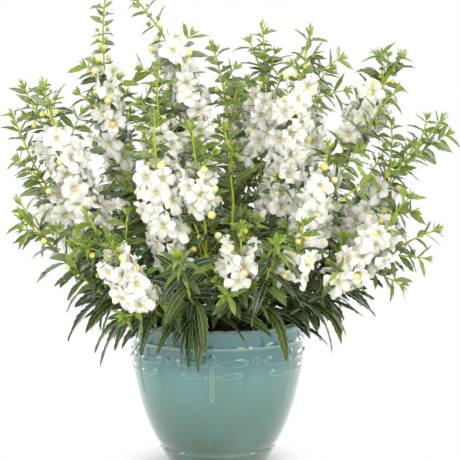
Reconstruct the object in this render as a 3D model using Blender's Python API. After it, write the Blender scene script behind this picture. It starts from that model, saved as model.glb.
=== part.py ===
"""Potted angelonia: a glazed pot, its soil, leafy stems and flower spikes.

Metres, +Z up, the viewer at -Y. The origin is the centre of the pot's flat foot.
"""
import math

import bmesh
import bpy
from mathutils import Vector
from mathutils.bvhtree import BVHTree

GAP = 0.0003                    # clearance between separate pieces that touch
UP = Vector((0.0, 0.0, 1.0))

# ---------------------------------------------------------------- pot and soil
SEGMENTS = 36                   # facets round the pot and the soil
FLOOR_TOP = 0.010               # inside floor of the pot
POT_OUTER = (                   # (radius, height) from the foot up to the lip
    (0.0500, 0.0000), (0.0557, 0.0012), (0.0612, 0.0104), (0.0648, 0.0160),
    (0.0670, 0.0195), (0.0664, 0.0228), (0.0716, 0.0300), (0.0794, 0.0473),
    (0.0872, 0.0703), (0.0928, 0.0934), (0.0970, 0.1165), (0.0977, 0.1430),
    (0.0998, 0.1465), (0.0982, 0.1500), (0.0982, 0.1580), (0.1003, 0.1640),
    (0.0991, 0.1668), (0.0948, 0.1668),
)
POT_INNER = (                   # (radius, height) from the lip down to the floor
    (0.0925, 0.1640), (0.0915, 0.1420), (0.0900, 0.1165), (0.0856, 0.0934),
    (0.0798, 0.0703), (0.0718, 0.0473), (0.0585, 0.0180), (0.0520, FLOOR_TOP),
)
DRAIN_HOLES = 3
DRAIN_RADIUS = 0.005
DRAIN_CIRCLE = 0.030            # radius of the circle that the holes stand on
DRAIN_TURN = math.radians(20)   # the first hole's place round the axis

SOIL_TOP = ((0.0700, 0.1615), (0.0350, 0.1640))   # (radius, height) of its gentle mound
SOIL_EDGE = (0.0918, 0.1580)
SOIL_CROWN = 0.1645
SOIL_SIDE_GAP = 0.0004          # measured along the radius, so a little over GAP

# Relief band: six winged figures, each with a body, a head and two pairs of wings,
# and a round bead half way between each two of them.
FIGURES = 6
FIRST_FIGURE = math.radians(-93.5)
RELIEF_LIFT = 0.0014            # how far a moulding stands off the wall
RELIEF_ROOT = 0.0012            # how deep it reaches into the wall
RELIEF_SIDES = 6
RELIEF_CREST = 0.7              # size of its flat crest as a share of its outline
HEAD = (0.0, 0.1362, 0.0047, 0.0050)               # offset, height, half width, half height
BODY = (0.0, 0.1084, 0.0030, 0.0215)
UPPER_WING = (0.0225, 0.1302, 0.0170, 0.0048)
LOWER_WING = (0.0189, 0.1160, 0.0136, 0.0037)
BEAD = (0.0, 0.1324, 0.0044, 0.0044)

# ---------------------------------------------------------------- plant
BASE_SPREAD = 0.38              # a stem's foot lies at this share of its middle's reach
# Each shoot: tip, middle, and the shares of its length where its flower spike starts and
# where the open flowers stop, or None for a shoot with leaves only.
SHOOTS = (
    # upright shoots in the middle
    ((-0.125, 0.020, 0.551), (-0.118, 0.012, 0.372), (0.46, 0.70)),
    ((-0.099, 0.030, 0.535), (-0.025, 0.020, 0.392), (0.55, 0.76)),
    ((-0.007, 0.040, 0.480), (0.017, 0.035, 0.335), None),
    ((0.051, 0.050, 0.503), (0.050, 0.030, 0.340), (0.44, 0.72)),
    ((0.105, 0.010, 0.500), (0.074, -0.020, 0.335), (0.38, 0.78)),
    ((-0.066, -0.010, 0.459), (-0.060, -0.022, 0.330), (0.46, 0.60)),
    # right
    ((0.212, 0.020, 0.470), (0.140, 0.010, 0.345), (0.56, 0.77)),
    ((0.258, 0.000, 0.400), (0.165, -0.014, 0.285), (0.50, 0.62)),
    ((0.247, -0.060, 0.277), (0.150, -0.052, 0.228), None),
    # left
    ((-0.222, 0.010, 0.436), (-0.158, 0.005, 0.312), (0.42, 0.76)),
    ((-0.194, -0.040, 0.442), (-0.146, -0.045, 0.300), (0.42, 0.82)),
    ((-0.231, -0.024, 0.405), (-0.164, -0.026, 0.275), (0.42, 0.64)),
    ((-0.221, -0.070, 0.313), (-0.150, -0.060, 0.222), None),
    # front
    ((-0.112, -0.150, 0.270), (-0.080, -0.122, 0.207), (0.36, 0.86)),
    ((-0.068, -0.070, 0.403), (-0.058, -0.085, 0.285), (0.28, 0.72)),
    ((-0.029, -0.100, 0.397), (-0.014, -0.095, 0.285), (0.33, 0.72)),
    ((0.007, -0.060, 0.392), (0.017, -0.062, 0.285), None),
    ((0.027, -0.152, 0.292), (0.020, -0.120, 0.218), (0.46, 0.86)),
    ((0.093, -0.125, 0.292), (0.075, -0.098, 0.226), (0.48, 0.76)),
    ((0.122, -0.080, 0.375), (0.095, -0.070, 0.268), (0.42, 0.80)),
    ((0.192, -0.100, 0.294), (0.134, -0.080, 0.222), (0.46, 0.85)),
    ((0.204, -0.050, 0.300), (0.142, -0.036, 0.232), (0.50, 0.85)),
    ((-0.143, -0.110, 0.303), (-0.100, -0.085, 0.228), None),
    ((-0.039, -0.165, 0.258), (-0.030, -0.120, 0.212), None),
    ((0.064, -0.155, 0.275), (0.048, -0.115, 0.216), None),
    # back
    ((-0.150, 0.110, 0.420), (-0.105, 0.080, 0.310), (0.45, 0.75)),
    ((-0.060, 0.185, 0.425), (-0.045, 0.118, 0.318), (0.50, 0.75)),
    ((0.035, 0.170, 0.436), (0.026, 0.110, 0.323), (0.55, 0.85)),
    ((0.125, 0.130, 0.430), (0.090, 0.090, 0.315), (0.50, 0.78)),
    ((0.200, 0.100, 0.360), (0.135, 0.070, 0.255), (0.50, 0.62)),
    ((0.085, 0.222, 0.330), (0.060, 0.138, 0.245), (0.50, 0.80)),
    ((-0.135, 0.205, 0.330), (-0.088, 0.133, 0.245), (0.50, 0.80)),
)
STEM_HALF = (0.0019, 0.0008)    # half width of the square stem at its foot and at its tip
NODE_HALF = 0.0016              # half height of the joint that a pair of leaves grows from
FIRST_LEAVES = 0.030            # distance from a stem's foot to its first pair
LEAF_STEP = 0.036               # distance from one pair of leaves to the next
BLOOM_STEP = 0.022
BRACT_STEP = 0.028
LEAF_LENGTH = (0.066, 0.018)    # at the foot and at the tip
LEAF_WIDTH = 0.15               # share of the length
LEAF_THICKNESS = 0.0008
LEAF_LIFT = (0.05, 1.3)         # how far a leaf leans along its stem, at the foot and at the tip
LEAF_DROOP = (0.62, 0.10)       # how strongly it bends down, at the foot and at the tip
LEAF_MIDDLE = (0.48, 0.16)      # its widest section: shares of length ahead and of droop down
LEAF_END = (0.90, 0.85)         # its tip, in the same shares
CLEAR_FROM = 0.44               # beyond this share of the way to its middle a leaf clears its stem
ROOT_FROM = 0.08                # beyond this share it clears everything else
PEDICEL = 0.006                 # length of a flower's stalk
PEDICEL_WIDTH = 0.0024
FLOWER_DEPTH = 0.008
FLOWER_HALF = 0.0115
FLOWER_LIFT = 0.25              # how far a flower leans along its stem
HEART_DEPTH = 0.35              # share of the flower's depth left behind its hollow
# A leaf or flower is tried with these shares of its size and turns to the side in order.
TRIALS = ((1.0, 0.0), (0.8, 0.25), (0.8, -0.25), (0.6, 0.5), (0.6, -0.5), (0.45, 0.0))


def material(name, colour, roughness):
    """Principled material with one colour."""
    made = bpy.data.materials.new(name)
    made.use_nodes = True
    shader = made.node_tree.nodes["Principled BSDF"]
    shader.inputs["Base Color"].default_value = (*colour, 1.0)
    shader.inputs["Roughness"].default_value = roughness
    return made


def new_object(name, mesh_data, finish):
    """Object of a bmesh, which is freed, in the scene's collection."""
    mesh = bpy.data.meshes.new(name)
    mesh_data.to_mesh(mesh)
    mesh_data.free()
    mesh.materials.append(finish)
    made = bpy.data.objects.new(name, mesh)
    bpy.context.collection.objects.link(made)
    return made


def shade_round(made, degrees=35):
    """Smooth shading that keeps edges sharper than the angle."""
    made.data.shade_smooth()
    made.data.set_sharp_from_angle(angle=math.radians(degrees))


# ---------------------------------------------------------------- turned pieces
def turned(profile, bottom, top):
    """Closed body of revolution: rings of the profile between two points on the axis."""
    bm = bmesh.new()
    rings = []
    for radius, height in profile:
        ring = []
        for step in range(SEGMENTS):
            angle = 2 * math.pi * step / SEGMENTS
            ring.append(bm.verts.new((radius * math.cos(angle), radius * math.sin(angle), height)))
        rings.append(ring)
    first = bm.verts.new((0, 0, bottom))
    last = bm.verts.new((0, 0, top))
    for step in range(SEGMENTS):
        following = (step + 1) % SEGMENTS
        bm.faces.new((first, rings[0][following], rings[0][step]))
        for lower, upper in zip(rings, rings[1:]):
            bm.faces.new((lower[step], lower[following], upper[following], upper[step]))
        bm.faces.new((last, rings[-1][step], rings[-1][following]))
    return bm


def wall_radius(height):
    """Outer radius of the pot at a height, along its straight profile lines."""
    for (radius_low, low), (radius_high, high) in zip(POT_OUTER, POT_OUTER[1:]):
        if low <= height <= high:
            share = (height - low) / (high - low)
            return radius_low + share * (radius_high - radius_low)
    return POT_OUTER[-1][0]


def moulding(bm, middle, offset, height, half_width, half_height):
    """Low six-sided boss that follows the pot's wall and is rooted in it."""
    rings = []
    for lift, share in ((-RELIEF_ROOT, 1.0), (RELIEF_LIFT, RELIEF_CREST)):
        ring = []
        for step in range(RELIEF_SIDES):
            turn = 2 * math.pi * step / RELIEF_SIDES
            z = height + share * half_height * math.sin(turn)
            along = offset + share * half_width * math.cos(turn)
            angle = middle + along / wall_radius(height)
            radius = wall_radius(z) + lift
            ring.append(bm.verts.new((radius * math.cos(angle), radius * math.sin(angle), z)))
        rings.append(ring)
    bm.faces.new(list(reversed(rings[0])))
    bm.faces.new(rings[-1])
    for lower, upper in zip(rings, rings[1:]):
        for step in range(RELIEF_SIDES):
            following = (step + 1) % RELIEF_SIDES
            bm.faces.new((lower[step], lower[following], upper[following], upper[step]))


def relief_sets():
    """The mouldings in groups that don't touch each other inside a group."""
    figures = bmesh.new()
    details = bmesh.new()
    for number in range(FIGURES):
        middle = FIRST_FIGURE + 2 * math.pi * number / FIGURES
        moulding(figures, middle, *BODY)
        moulding(details, middle, *HEAD)
        moulding(figures, middle + math.pi / FIGURES, *BEAD)
        for side in (-1, 1):
            for offset, height, half_width, half_height in (UPPER_WING, LOWER_WING):
                moulding(figures, middle, side * offset, height, half_width, half_height)
    return figures, details


def cut_or_join(target, other, operation):
    """Exact Boolean modifier with a hidden helper."""
    other.hide_render = True
    other.display_type = "WIRE"
    step = target.modifiers.new(operation.title(), "BOOLEAN")
    step.operation = operation
    step.solver = "EXACT"
    step.object = other


def make_pot(finish):
    """Turned pot with its relief joined on and its drain holes cut."""
    pot = new_object("pot", turned(POT_OUTER + POT_INNER, 0.0, FLOOR_TOP), finish)
    for number, mouldings in enumerate(relief_sets(), start=1):
        cut_or_join(pot, new_object(f"relief_guide_{number}", mouldings, finish), "UNION")
    for number in range(DRAIN_HOLES):
        angle = DRAIN_TURN + 2 * math.pi * number / DRAIN_HOLES
        place = (DRAIN_CIRCLE * math.cos(angle), DRAIN_CIRCLE * math.sin(angle), FLOOR_TOP / 2)
        bpy.ops.mesh.primitive_cylinder_add(
            vertices=12, radius=DRAIN_RADIUS, depth=3 * FLOOR_TOP, location=place)
        drill = bpy.context.object
        drill.name = f"drain_drill_{number + 1}"
        cut_or_join(pot, drill, "DIFFERENCE")
    shade_round(pot)
    return pot


def make_soil(finish):
    """Soil that fills the pot to a low mound, clear of the pot by GAP."""
    side = [(radius - SOIL_SIDE_GAP, height) for radius, height in reversed(POT_INNER[2:-1:2])]
    foot = (POT_INNER[-1][0] - SOIL_SIDE_GAP, FLOOR_TOP + GAP)
    profile = [foot, *side, SOIL_EDGE, *SOIL_TOP]
    soil = new_object("soil", turned(profile, FLOOR_TOP + GAP, SOIL_CROWN), finish)
    shade_round(soil)
    return soil


def soil_height(radius):
    """Height of the soil's mound at a distance from the axis."""
    line = ((0.0, SOIL_CROWN), *reversed(SOIL_TOP), SOIL_EDGE)
    for (near, high), (far, low) in zip(line, line[1:]):
        if near <= radius <= far:
            return high + (low - high) * (radius - near) / (far - near)
    return SOIL_EDGE[1]


# ---------------------------------------------------------------- plant: stems
def between(ends, share):
    """Value at a share of the way between two."""
    return ends[0] + share * (ends[1] - ends[0])


class Shoot:
    """Quadratic curve of one shoot, from its foot on the soil through its middle to its tip."""

    def __init__(self, tip, middle):
        self.tip = Vector(tip)
        middle = Vector(middle)
        foot = BASE_SPREAD * middle.xy
        height = soil_height(foot.length - 2 * STEM_HALF[0]) + GAP
        self.foot = Vector((*foot, height))
        self.control = 2 * middle - (self.foot + self.tip) / 2
        self.length = (middle - self.foot).length + (self.tip - middle).length

    def point(self, share):
        rest = 1 - share
        return rest * rest * self.foot + 2 * rest * share * self.control + share * share * self.tip

    def ahead(self, share):
        rest = 1 - share
        slope = rest * (self.control - self.foot) + share * (self.tip - self.control)
        return slope.normalized()

    def frame(self, share):
        """Side and front directions across the stem, which turn smoothly along it."""
        ahead = self.ahead(share)
        radial = Vector((self.foot.x, self.foot.y, 0.0)).normalized()
        side = radial.cross(UP)
        side = (side - side.dot(ahead) * ahead).normalized()
        return side, ahead.cross(side)

    def corners(self, share, along=0.0):
        """The four corners of the square stem there, turning left round it."""
        side, front = self.frame(share)
        half = between(STEM_HALF, share)
        centre = self.point(share) + along * self.ahead(share)
        turns = ((-1, -1), (1, -1), (1, 1), (-1, 1))
        return [centre + half * (x * side + y * front) for x, y in turns]


def joint_shares(shoot, start, stop, step):
    """Shares of the length where the joints between two shares lie, evenly spread."""
    count = max(1, round((stop - start) * shoot.length / step))
    return [start + (stop - start) * (number + 0.5) / count for number in range(count)]


def stem_rings(shoot, start, stop, joints, on_soil):
    """Rings of corners of a stretch of stem: its two ends and a pair at each joint."""
    first = shoot.corners(start, 0.0 if on_soil else GAP)
    if on_soil:
        for corner in first:
            corner.z = shoot.foot.z
    rings = [first]
    for share in joints:
        rings.append(shoot.corners(share, -NODE_HALF))
        rings.append(shoot.corners(share, NODE_HALF))
    rings.append(shoot.corners(stop))
    return rings


def stem_mesh(rings):
    """Closed square tube through the rings, and its side faces, one list for each stretch."""
    bm = bmesh.new()
    verts = [[bm.verts.new(corner) for corner in ring] for ring in rings]
    bm.faces.new(list(reversed(verts[0])))
    bm.faces.new(verts[-1])
    stretches = []
    for lower, upper in zip(verts, verts[1:]):
        sides = []
        for corner in range(4):
            following = (corner + 1) % 4
            sides.append(bm.faces.new(
                (lower[corner], lower[following], upper[following], upper[corner])))
        stretches.append(sides)
    return bm, stretches


# ---------------------------------------------------------------- plant: what grows on a stem
class Occupied:
    """Everything that stands already, to keep new leaves and flowers clear of it."""

    def __init__(self):
        self.bodies = []

    def add(self, points, faces, owner=None):
        low = Vector([min(point[axis] for point in points) for axis in range(3)])
        high = Vector([max(point[axis] for point in points) for axis in range(3)])
        tree = BVHTree.FromPolygons(points, faces, epsilon=GAP)
        self.bodies.append((low, high, tree, owner))

    def is_clear(self, points, faces, besides=None):
        """Whether a closed shape touches nothing but the bodies of one owner."""
        low = [min(point[axis] for point in points) - 2 * GAP for axis in range(3)]
        high = [max(point[axis] for point in points) + 2 * GAP for axis in range(3)]
        tree = BVHTree.FromPolygons(points, faces, epsilon=GAP)
        for other_low, other_high, other, owner in self.bodies:
            if owner and owner == besides:
                continue
            apart = any(high[axis] < other_low[axis] or low[axis] > other_high[axis]
                        for axis in range(3))
            if not apart and tree.overlap(other):
                return False
        return True


PYRAMID = ((3, 2, 1, 0), (0, 1, 4), (1, 2, 4), (2, 3, 4), (3, 0, 4))
SLEEVE = ((0, 1, 5, 4), (1, 2, 6, 5), (2, 3, 7, 6), (3, 0, 4, 7))


def tube_faces(count):
    """Side faces of a tube of square rings, numbered ring by ring."""
    faces = []
    for ring in range(count - 1):
        for face in SLEEVE:
            faces.append(tuple(4 * ring + corner for corner in face))
    return faces


def plate(centre, across, over, width, thickness):
    """Four corners of a flat section: lower left, lower right, upper right, upper left."""
    wide = across * width / 2
    thick = over * thickness / 2
    return [centre - wide - thick, centre + wide - thick, centre + wide + thick, centre - wide + thick]


def part_way(face, corners, share):
    """Sleeve of eight points from a share of the way between a face and four corners."""
    starts = [vert.co.lerp(corner, share) for vert, corner in zip(face.verts, corners)]
    return [*starts, *corners]


def grow(bm, face, corners):
    """Extrude a face and put its four corners at new places."""
    grown = bmesh.ops.extrude_discrete_faces(bm, faces=[face])["faces"][0]
    for loop, corner in zip(grown.loops, corners):
        loop.vert.co = corner
    return grown


def close_at(bm, face, point):
    """Draw a face's corners together in one point beyond or behind it."""
    ends = grow(bm, face, [point] * 4)
    bmesh.ops.pointmerge(bm, verts=list(ends.verts), merge_co=point)


def leaf_sections(base, out, ahead, across, length, share, turn):
    """Middle section and tip of a leaf that leaves its stem at base and bends down."""
    lift = between(LEAF_LIFT, share)
    droop = between(LEAF_DROOP, share)
    heading = (out + lift * ahead + turn * across).normalized()
    over = across.cross(heading).normalized()
    if over.dot(ahead) < 0:
        over.negate()
    middle = base + heading * length * LEAF_MIDDLE[0] - UP * length * droop * LEAF_MIDDLE[1]
    tip = base + heading * length * LEAF_END[0] - UP * length * droop * LEAF_END[1]
    return plate(middle, across, over, LEAF_WIDTH * length, LEAF_THICKNESS), tip


def try_leaf(bm, face, occupied, stem, out, ahead, length, share):
    """Grow a leaf from a joint's face, shorter or turned where something is in its way."""
    base = face.calc_center_median()
    across = (face.verts[1].co - face.verts[0].co).normalized()
    for shrink, turn in TRIALS:
        section, tip = leaf_sections(base, out, ahead, across, shrink * length, share, turn)
        root = part_way(face, section, ROOT_FROM)
        free = part_way(face, section, CLEAR_FROM)
        end = [*section, tip]
        if not (occupied.is_clear(root, SLEEVE, stem) and occupied.is_clear(free, SLEEVE)
                and occupied.is_clear(end, PYRAMID)):
            continue
        occupied.add(root, SLEEVE)
        occupied.add(end, PYRAMID)
        blade = grow(bm, face, section)
        close_at(bm, blade, tip)
        return


def try_flower(bm, face, occupied, stem, out, ahead):
    """Grow a pedicel and an open four-cornered cup from a joint's face."""
    base = face.calc_center_median()
    across = (face.verts[1].co - face.verts[0].co).normalized()
    for shrink, turn in TRIALS:
        heading = (out + FLOWER_LIFT * ahead + turn * across).normalized()
        over = across.cross(heading).normalized()
        if over.dot(ahead) < 0:
            over.negate()
        size = shrink * FLOWER_HALF
        throat = base + PEDICEL * heading
        mouth = throat + FLOWER_DEPTH * shrink * heading
        neck = plate(throat, across, over, PEDICEL_WIDTH, PEDICEL_WIDTH)
        rim = plate(mouth, across, over, 2 * size, 2 * size)
        heart = throat + HEART_DEPTH * FLOWER_DEPTH * shrink * heading
        root = part_way(face, neck, ROOT_FROM)
        if not (occupied.is_clear(root, SLEEVE, stem) and occupied.is_clear([*neck, *rim], SLEEVE)):
            continue
        occupied.add(root, SLEEVE)
        occupied.add([*neck, *rim], SLEEVE)
        cup = grow(bm, grow(bm, face, neck), rim)
        close_at(bm, cup, heart)
        return


class Stretch:
    """Part of a shoot that is one piece: a leafy stem, or the flower spike on top of it."""

    def __init__(self, name, shoot, start, stop, kinds, on_soil, finish):
        self.name = name
        self.shoot = shoot
        self.kinds = kinds                  # (share, "leaf" or "flower") for each joint
        self.finish = finish
        shares = [share for share, kind in kinds]
        self.rings = stem_rings(shoot, start, stop, shares, on_soil)

    def reserve(self, occupied):
        """Put the bare stem among the occupied places before anything grows."""
        points = [corner for ring in self.rings for corner in ring]
        occupied.add(points, tube_faces(len(self.rings)), self.name)

    def build(self, occupied):
        """Stem with a pair of leaves or flowers at each joint, turned a quarter from the last."""
        bm, stretches = stem_mesh(self.rings)
        for number, (share, kind) in enumerate(self.kinds):
            side, front = self.shoot.frame(share)
            outward = (-front, side, front, -side)
            sides = stretches[2 * number + 1]
            length = between(LEAF_LENGTH, share)
            for corner in (number % 2, number % 2 + 2):
                out = outward[corner]
                ahead = self.shoot.ahead(share)
                if kind == "leaf":
                    try_leaf(bm, sides[corner], occupied, self.name, out, ahead, length, share)
                else:
                    try_flower(bm, sides[corner], occupied, self.name, out, ahead)
        bmesh.ops.recalc_face_normals(bm, faces=bm.faces)
        return new_object(self.name, bm, self.finish)


def plan_stretches(foliage, bloom):
    """Every leafy stem and flower spike, in the order of the table of shoots."""
    stretches = []
    for number, (tip, middle, spike) in enumerate(SHOOTS, start=1):
        shoot = Shoot(tip, middle)
        first = FIRST_LEAVES / shoot.length
        stem_end = spike[0] if spike else 1.0
        leaves = [(share, "leaf") for share in joint_shares(shoot, first, stem_end, LEAF_STEP)]
        stretches.append(Stretch(
            f"leafy_stem_{number:02d}", shoot, 0.0, stem_end, leaves, True, foliage))
        if spike:
            start, bloom_end = spike
            joints = [(share, "flower") for share in joint_shares(shoot, start, bloom_end, BLOOM_STEP)]
            joints += [(share, "leaf") for share in joint_shares(shoot, bloom_end, 1.0, BRACT_STEP)]
            stretches.append(Stretch(
                f"flower_spike_{number:02d}", shoot, start, 1.0, joints, False, bloom))
    return stretches


def make_plant(pot, soil, foliage, bloom):
    """All stems are placed first, so that leaves and flowers keep clear of every one."""
    occupied = Occupied()
    settled = bpy.context.evaluated_depsgraph_get()
    for solid in (pot, soil):
        mesh = solid.evaluated_get(settled).data
        occupied.add([vert.co.copy() for vert in mesh.vertices],
                     [tuple(face.vertices) for face in mesh.polygons])
    stretches = plan_stretches(foliage, bloom)
    for stretch in stretches:
        stretch.reserve(occupied)
    for stretch in stretches:
        stretch.build(occupied)


def main():
    for old in list(bpy.data.objects):
        bpy.data.objects.remove(old)
    pot = make_pot(material("turquoise_glaze", (0.17, 0.33, 0.29), 0.12))
    soil = make_soil(material("potting_soil", (0.035, 0.024, 0.016), 0.95))
    foliage = material("green_foliage", (0.07, 0.14, 0.04), 0.45)
    bloom = material("white_bloom", (0.80, 0.81, 0.76), 0.60)
    make_plant(pot, soil, foliage, bloom)


main()
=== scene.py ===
"""Looks of the potted angelonia: glazed pot, soil, stems, leaves, flowers and buds.

Metres, +Z up, the viewer at -Y, in the frame of the CAD model.
"""

import math
import random
from itertools import product

import bmesh
import bpy
import numpy as np
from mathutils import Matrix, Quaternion, Vector, kdtree, noise


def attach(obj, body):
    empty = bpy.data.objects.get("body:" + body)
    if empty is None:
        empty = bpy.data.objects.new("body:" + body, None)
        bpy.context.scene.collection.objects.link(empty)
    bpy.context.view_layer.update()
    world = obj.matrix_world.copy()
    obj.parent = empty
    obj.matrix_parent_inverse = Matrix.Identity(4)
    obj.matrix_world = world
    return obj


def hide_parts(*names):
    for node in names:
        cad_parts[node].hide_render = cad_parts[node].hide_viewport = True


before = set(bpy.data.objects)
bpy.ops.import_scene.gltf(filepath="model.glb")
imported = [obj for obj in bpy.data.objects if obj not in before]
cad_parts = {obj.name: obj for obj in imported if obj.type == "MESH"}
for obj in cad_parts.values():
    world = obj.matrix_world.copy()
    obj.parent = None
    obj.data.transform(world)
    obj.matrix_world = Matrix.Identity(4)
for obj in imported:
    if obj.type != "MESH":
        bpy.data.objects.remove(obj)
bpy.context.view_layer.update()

BODY = "root"
UP = Vector((0.0, 0.0, 1.0))

# ---------------- pot
POT_OUTER = (                   # (radius, height) from the foot up to the lip
    (0.0500, 0.0000), (0.0557, 0.0012), (0.0612, 0.0104), (0.0648, 0.0160),
    (0.0670, 0.0195), (0.0664, 0.0228), (0.0716, 0.0300), (0.0794, 0.0473),
    (0.0872, 0.0703), (0.0928, 0.0934), (0.0970, 0.1165), (0.0977, 0.1430),
    (0.0998, 0.1465), (0.0982, 0.1500), (0.0982, 0.1580), (0.1003, 0.1640),
    (0.0991, 0.1668), (0.0948, 0.1668),
)
POT_INNER = (                   # (radius, height) from the lip down to the floor
    (0.0925, 0.1640), (0.0915, 0.1420), (0.0900, 0.1165), (0.0856, 0.0934),
    (0.0798, 0.0703), (0.0718, 0.0473), (0.0585, 0.0180), (0.0520, 0.0100),
)
WALL_RADII, WALL_HEIGHTS = zip(*POT_OUTER[:-1])     # without the flat top of the lip
RIM_TOP = 0.1668
FLOOR_TOP = 0.010
FOOT_RINGS = (0.012, 0.022, 0.038, 0.0465, 0.0500)      # radii of the rows under the foot
FLOOR_RINGS = (0.040, 0.022, 0.010)                     # and on the floor inside
FINE_BAND = (0.083, 0.1425)     # heights between which the relief needs fine rows
BASE_BAND_TOP = 0.026
# Spacing of rows: on the relief, on the cord, lip and base band, between those, and inside.
FINE_ROW, CORD_ROW, COARSE_ROW, INNER_ROW = 0.0009, 0.0012, 0.0032, 0.006
FINE_TURN, COARSE_TURN = 0.0075, 0.0165     # angles between columns
FINE_REACH = 0.070              # columns are fine up to this angle from an upright bar or bead
OUT_OF_ROUND = 0.00035          # slight sway of the thrown wall at the rim
DRAIN_HOLES = 3
DRAIN_RADIUS = 0.005
DRAIN_CIRCLE = 0.030
DRAIN_TURN = math.radians(20)

FIGURES = 6
FIGURE_STEP = 2 * math.pi / FIGURES
FIRST_FIGURE = math.radians(-93.5)
RELIEF_LIFT = 0.0014
EDGE_SOFTNESS = 0.0009
DOME = 0.0034                   # depth within its outline at which a head or bead is full
WING_POWER = 2.6                # roundness of a wing's outline
WING_RISE = 0.0012              # how much higher a wing's end lies than its middle
# Mouldings: offset, height, half width, half height.
HEAD = (0.0, 0.1362, 0.0047, 0.0050)
BODY_BAR = (0.0, 0.1084, 0.0024, 0.0215)
UPPER_WING = (0.0225, 0.1302, 0.0170, 0.0048)
LOWER_WING = (0.0189, 0.1160, 0.0136, 0.0037)
BEAD = (0.0, 0.1324, 0.0044, 0.0044)
# Where the glaze runs thin on raised edges, and pools beside them: height, spread, strength.
THIN_EDGES = ((0.1467, 0.0011, 1.0), (0.1672, 0.0012, 0.9), (0.0200, 0.0014, 0.5))
POOL_EDGES = ((0.1430, 0.0012, 1.0), (0.1502, 0.0012, 1.0), (0.0238, 0.0016, 0.8))
GLAZED_FROM = 0.05              # no pools within this radius

# ---------------- soil
# The even mound: heights of its surface at these distances from the middle.
SOIL_RADII = (0.0, 0.0350, 0.0700, 0.0918)
SOIL_HEIGHTS = (0.1645, 0.1640, 0.1615, 0.1580)
SOIL_SIDE_GAP = 0.0004          # between the soil and the pot
SOIL_EDGE = 0.0915              # radius of the top's outermost ring
SOIL_RINGS = 44
SOIL_COLUMNS = 150
SOIL_SINK = 0.0012              # so that no lump rises above the even mound where stems stand
CHIPS = 420
WHITE_SHARE = 0.22              # of the chips are white grains
CHIP_REACH = 0.0875             # no chip lies further out
WHITE_SIZE, BARK_SIZE = (0.0008, 0.0016), (0.0012, 0.0034)
WHITE_FLATNESS, BARK_FLATNESS = 0.8, 0.4
CHIP_FACES = np.array([(0, 1, 3, 2), (4, 6, 7, 5), (0, 4, 5, 1), (2, 3, 7, 6), (0, 2, 6, 4), (1, 5, 7, 3)])

# ---------------- plant
BASE_SPREAD = 0.38              # a stem's foot lies at this share of its middle's reach
# Each shoot: tip, middle, and the shares of its length where its flower spike starts and
# where the open flowers stop, or None for a shoot with leaves only.
SHOOTS = (
    # upright shoots in the middle
    ((-0.125, 0.020, 0.551), (-0.118, 0.012, 0.372), (0.46, 0.70)),
    ((-0.099, 0.030, 0.535), (-0.025, 0.020, 0.392), (0.55, 0.76)),
    ((-0.007, 0.040, 0.480), (0.017, 0.035, 0.335), None),
    ((0.051, 0.050, 0.503), (0.050, 0.030, 0.340), (0.44, 0.72)),
    ((0.105, 0.010, 0.500), (0.074, -0.020, 0.335), (0.38, 0.78)),
    ((-0.066, -0.010, 0.459), (-0.060, -0.022, 0.330), (0.46, 0.60)),
    # right
    ((0.212, 0.020, 0.470), (0.140, 0.010, 0.345), (0.56, 0.77)),
    ((0.258, 0.000, 0.400), (0.165, -0.014, 0.285), (0.50, 0.62)),
    ((0.247, -0.060, 0.277), (0.150, -0.052, 0.228), None),
    # left
    ((-0.222, 0.010, 0.436), (-0.158, 0.005, 0.312), (0.42, 0.76)),
    ((-0.194, -0.040, 0.442), (-0.146, -0.045, 0.300), (0.42, 0.82)),
    ((-0.231, -0.024, 0.405), (-0.164, -0.026, 0.275), (0.42, 0.64)),
    ((-0.221, -0.070, 0.313), (-0.150, -0.060, 0.222), None),
    # front
    ((-0.112, -0.150, 0.270), (-0.080, -0.122, 0.207), (0.36, 0.86)),
    ((-0.068, -0.070, 0.403), (-0.058, -0.085, 0.285), (0.28, 0.72)),
    ((-0.029, -0.100, 0.397), (-0.014, -0.095, 0.285), (0.33, 0.72)),
    ((0.007, -0.060, 0.392), (0.017, -0.062, 0.285), None),
    ((0.027, -0.152, 0.292), (0.020, -0.120, 0.218), (0.46, 0.86)),
    ((0.093, -0.125, 0.292), (0.075, -0.098, 0.226), (0.48, 0.76)),
    ((0.122, -0.080, 0.375), (0.095, -0.070, 0.268), (0.42, 0.80)),
    ((0.192, -0.100, 0.294), (0.134, -0.080, 0.222), (0.46, 0.85)),
    ((0.204, -0.050, 0.300), (0.142, -0.036, 0.232), (0.50, 0.85)),
    ((-0.143, -0.110, 0.303), (-0.100, -0.085, 0.228), None),
    ((-0.039, -0.165, 0.258), (-0.030, -0.120, 0.212), None),
    ((0.064, -0.155, 0.275), (0.048, -0.115, 0.216), None),
    # back
    ((-0.150, 0.110, 0.420), (-0.105, 0.080, 0.310), (0.45, 0.75)),
    ((-0.060, 0.185, 0.425), (-0.045, 0.118, 0.318), (0.50, 0.75)),
    ((0.035, 0.170, 0.436), (0.026, 0.110, 0.323), (0.55, 0.85)),
    ((0.125, 0.130, 0.430), (0.090, 0.090, 0.315), (0.50, 0.78)),
    ((0.200, 0.100, 0.360), (0.135, 0.070, 0.255), (0.50, 0.62)),
    ((0.085, 0.222, 0.330), (0.060, 0.138, 0.245), (0.50, 0.80)),
    ((-0.135, 0.205, 0.330), (-0.088, 0.133, 0.245), (0.50, 0.80)),
)
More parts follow.
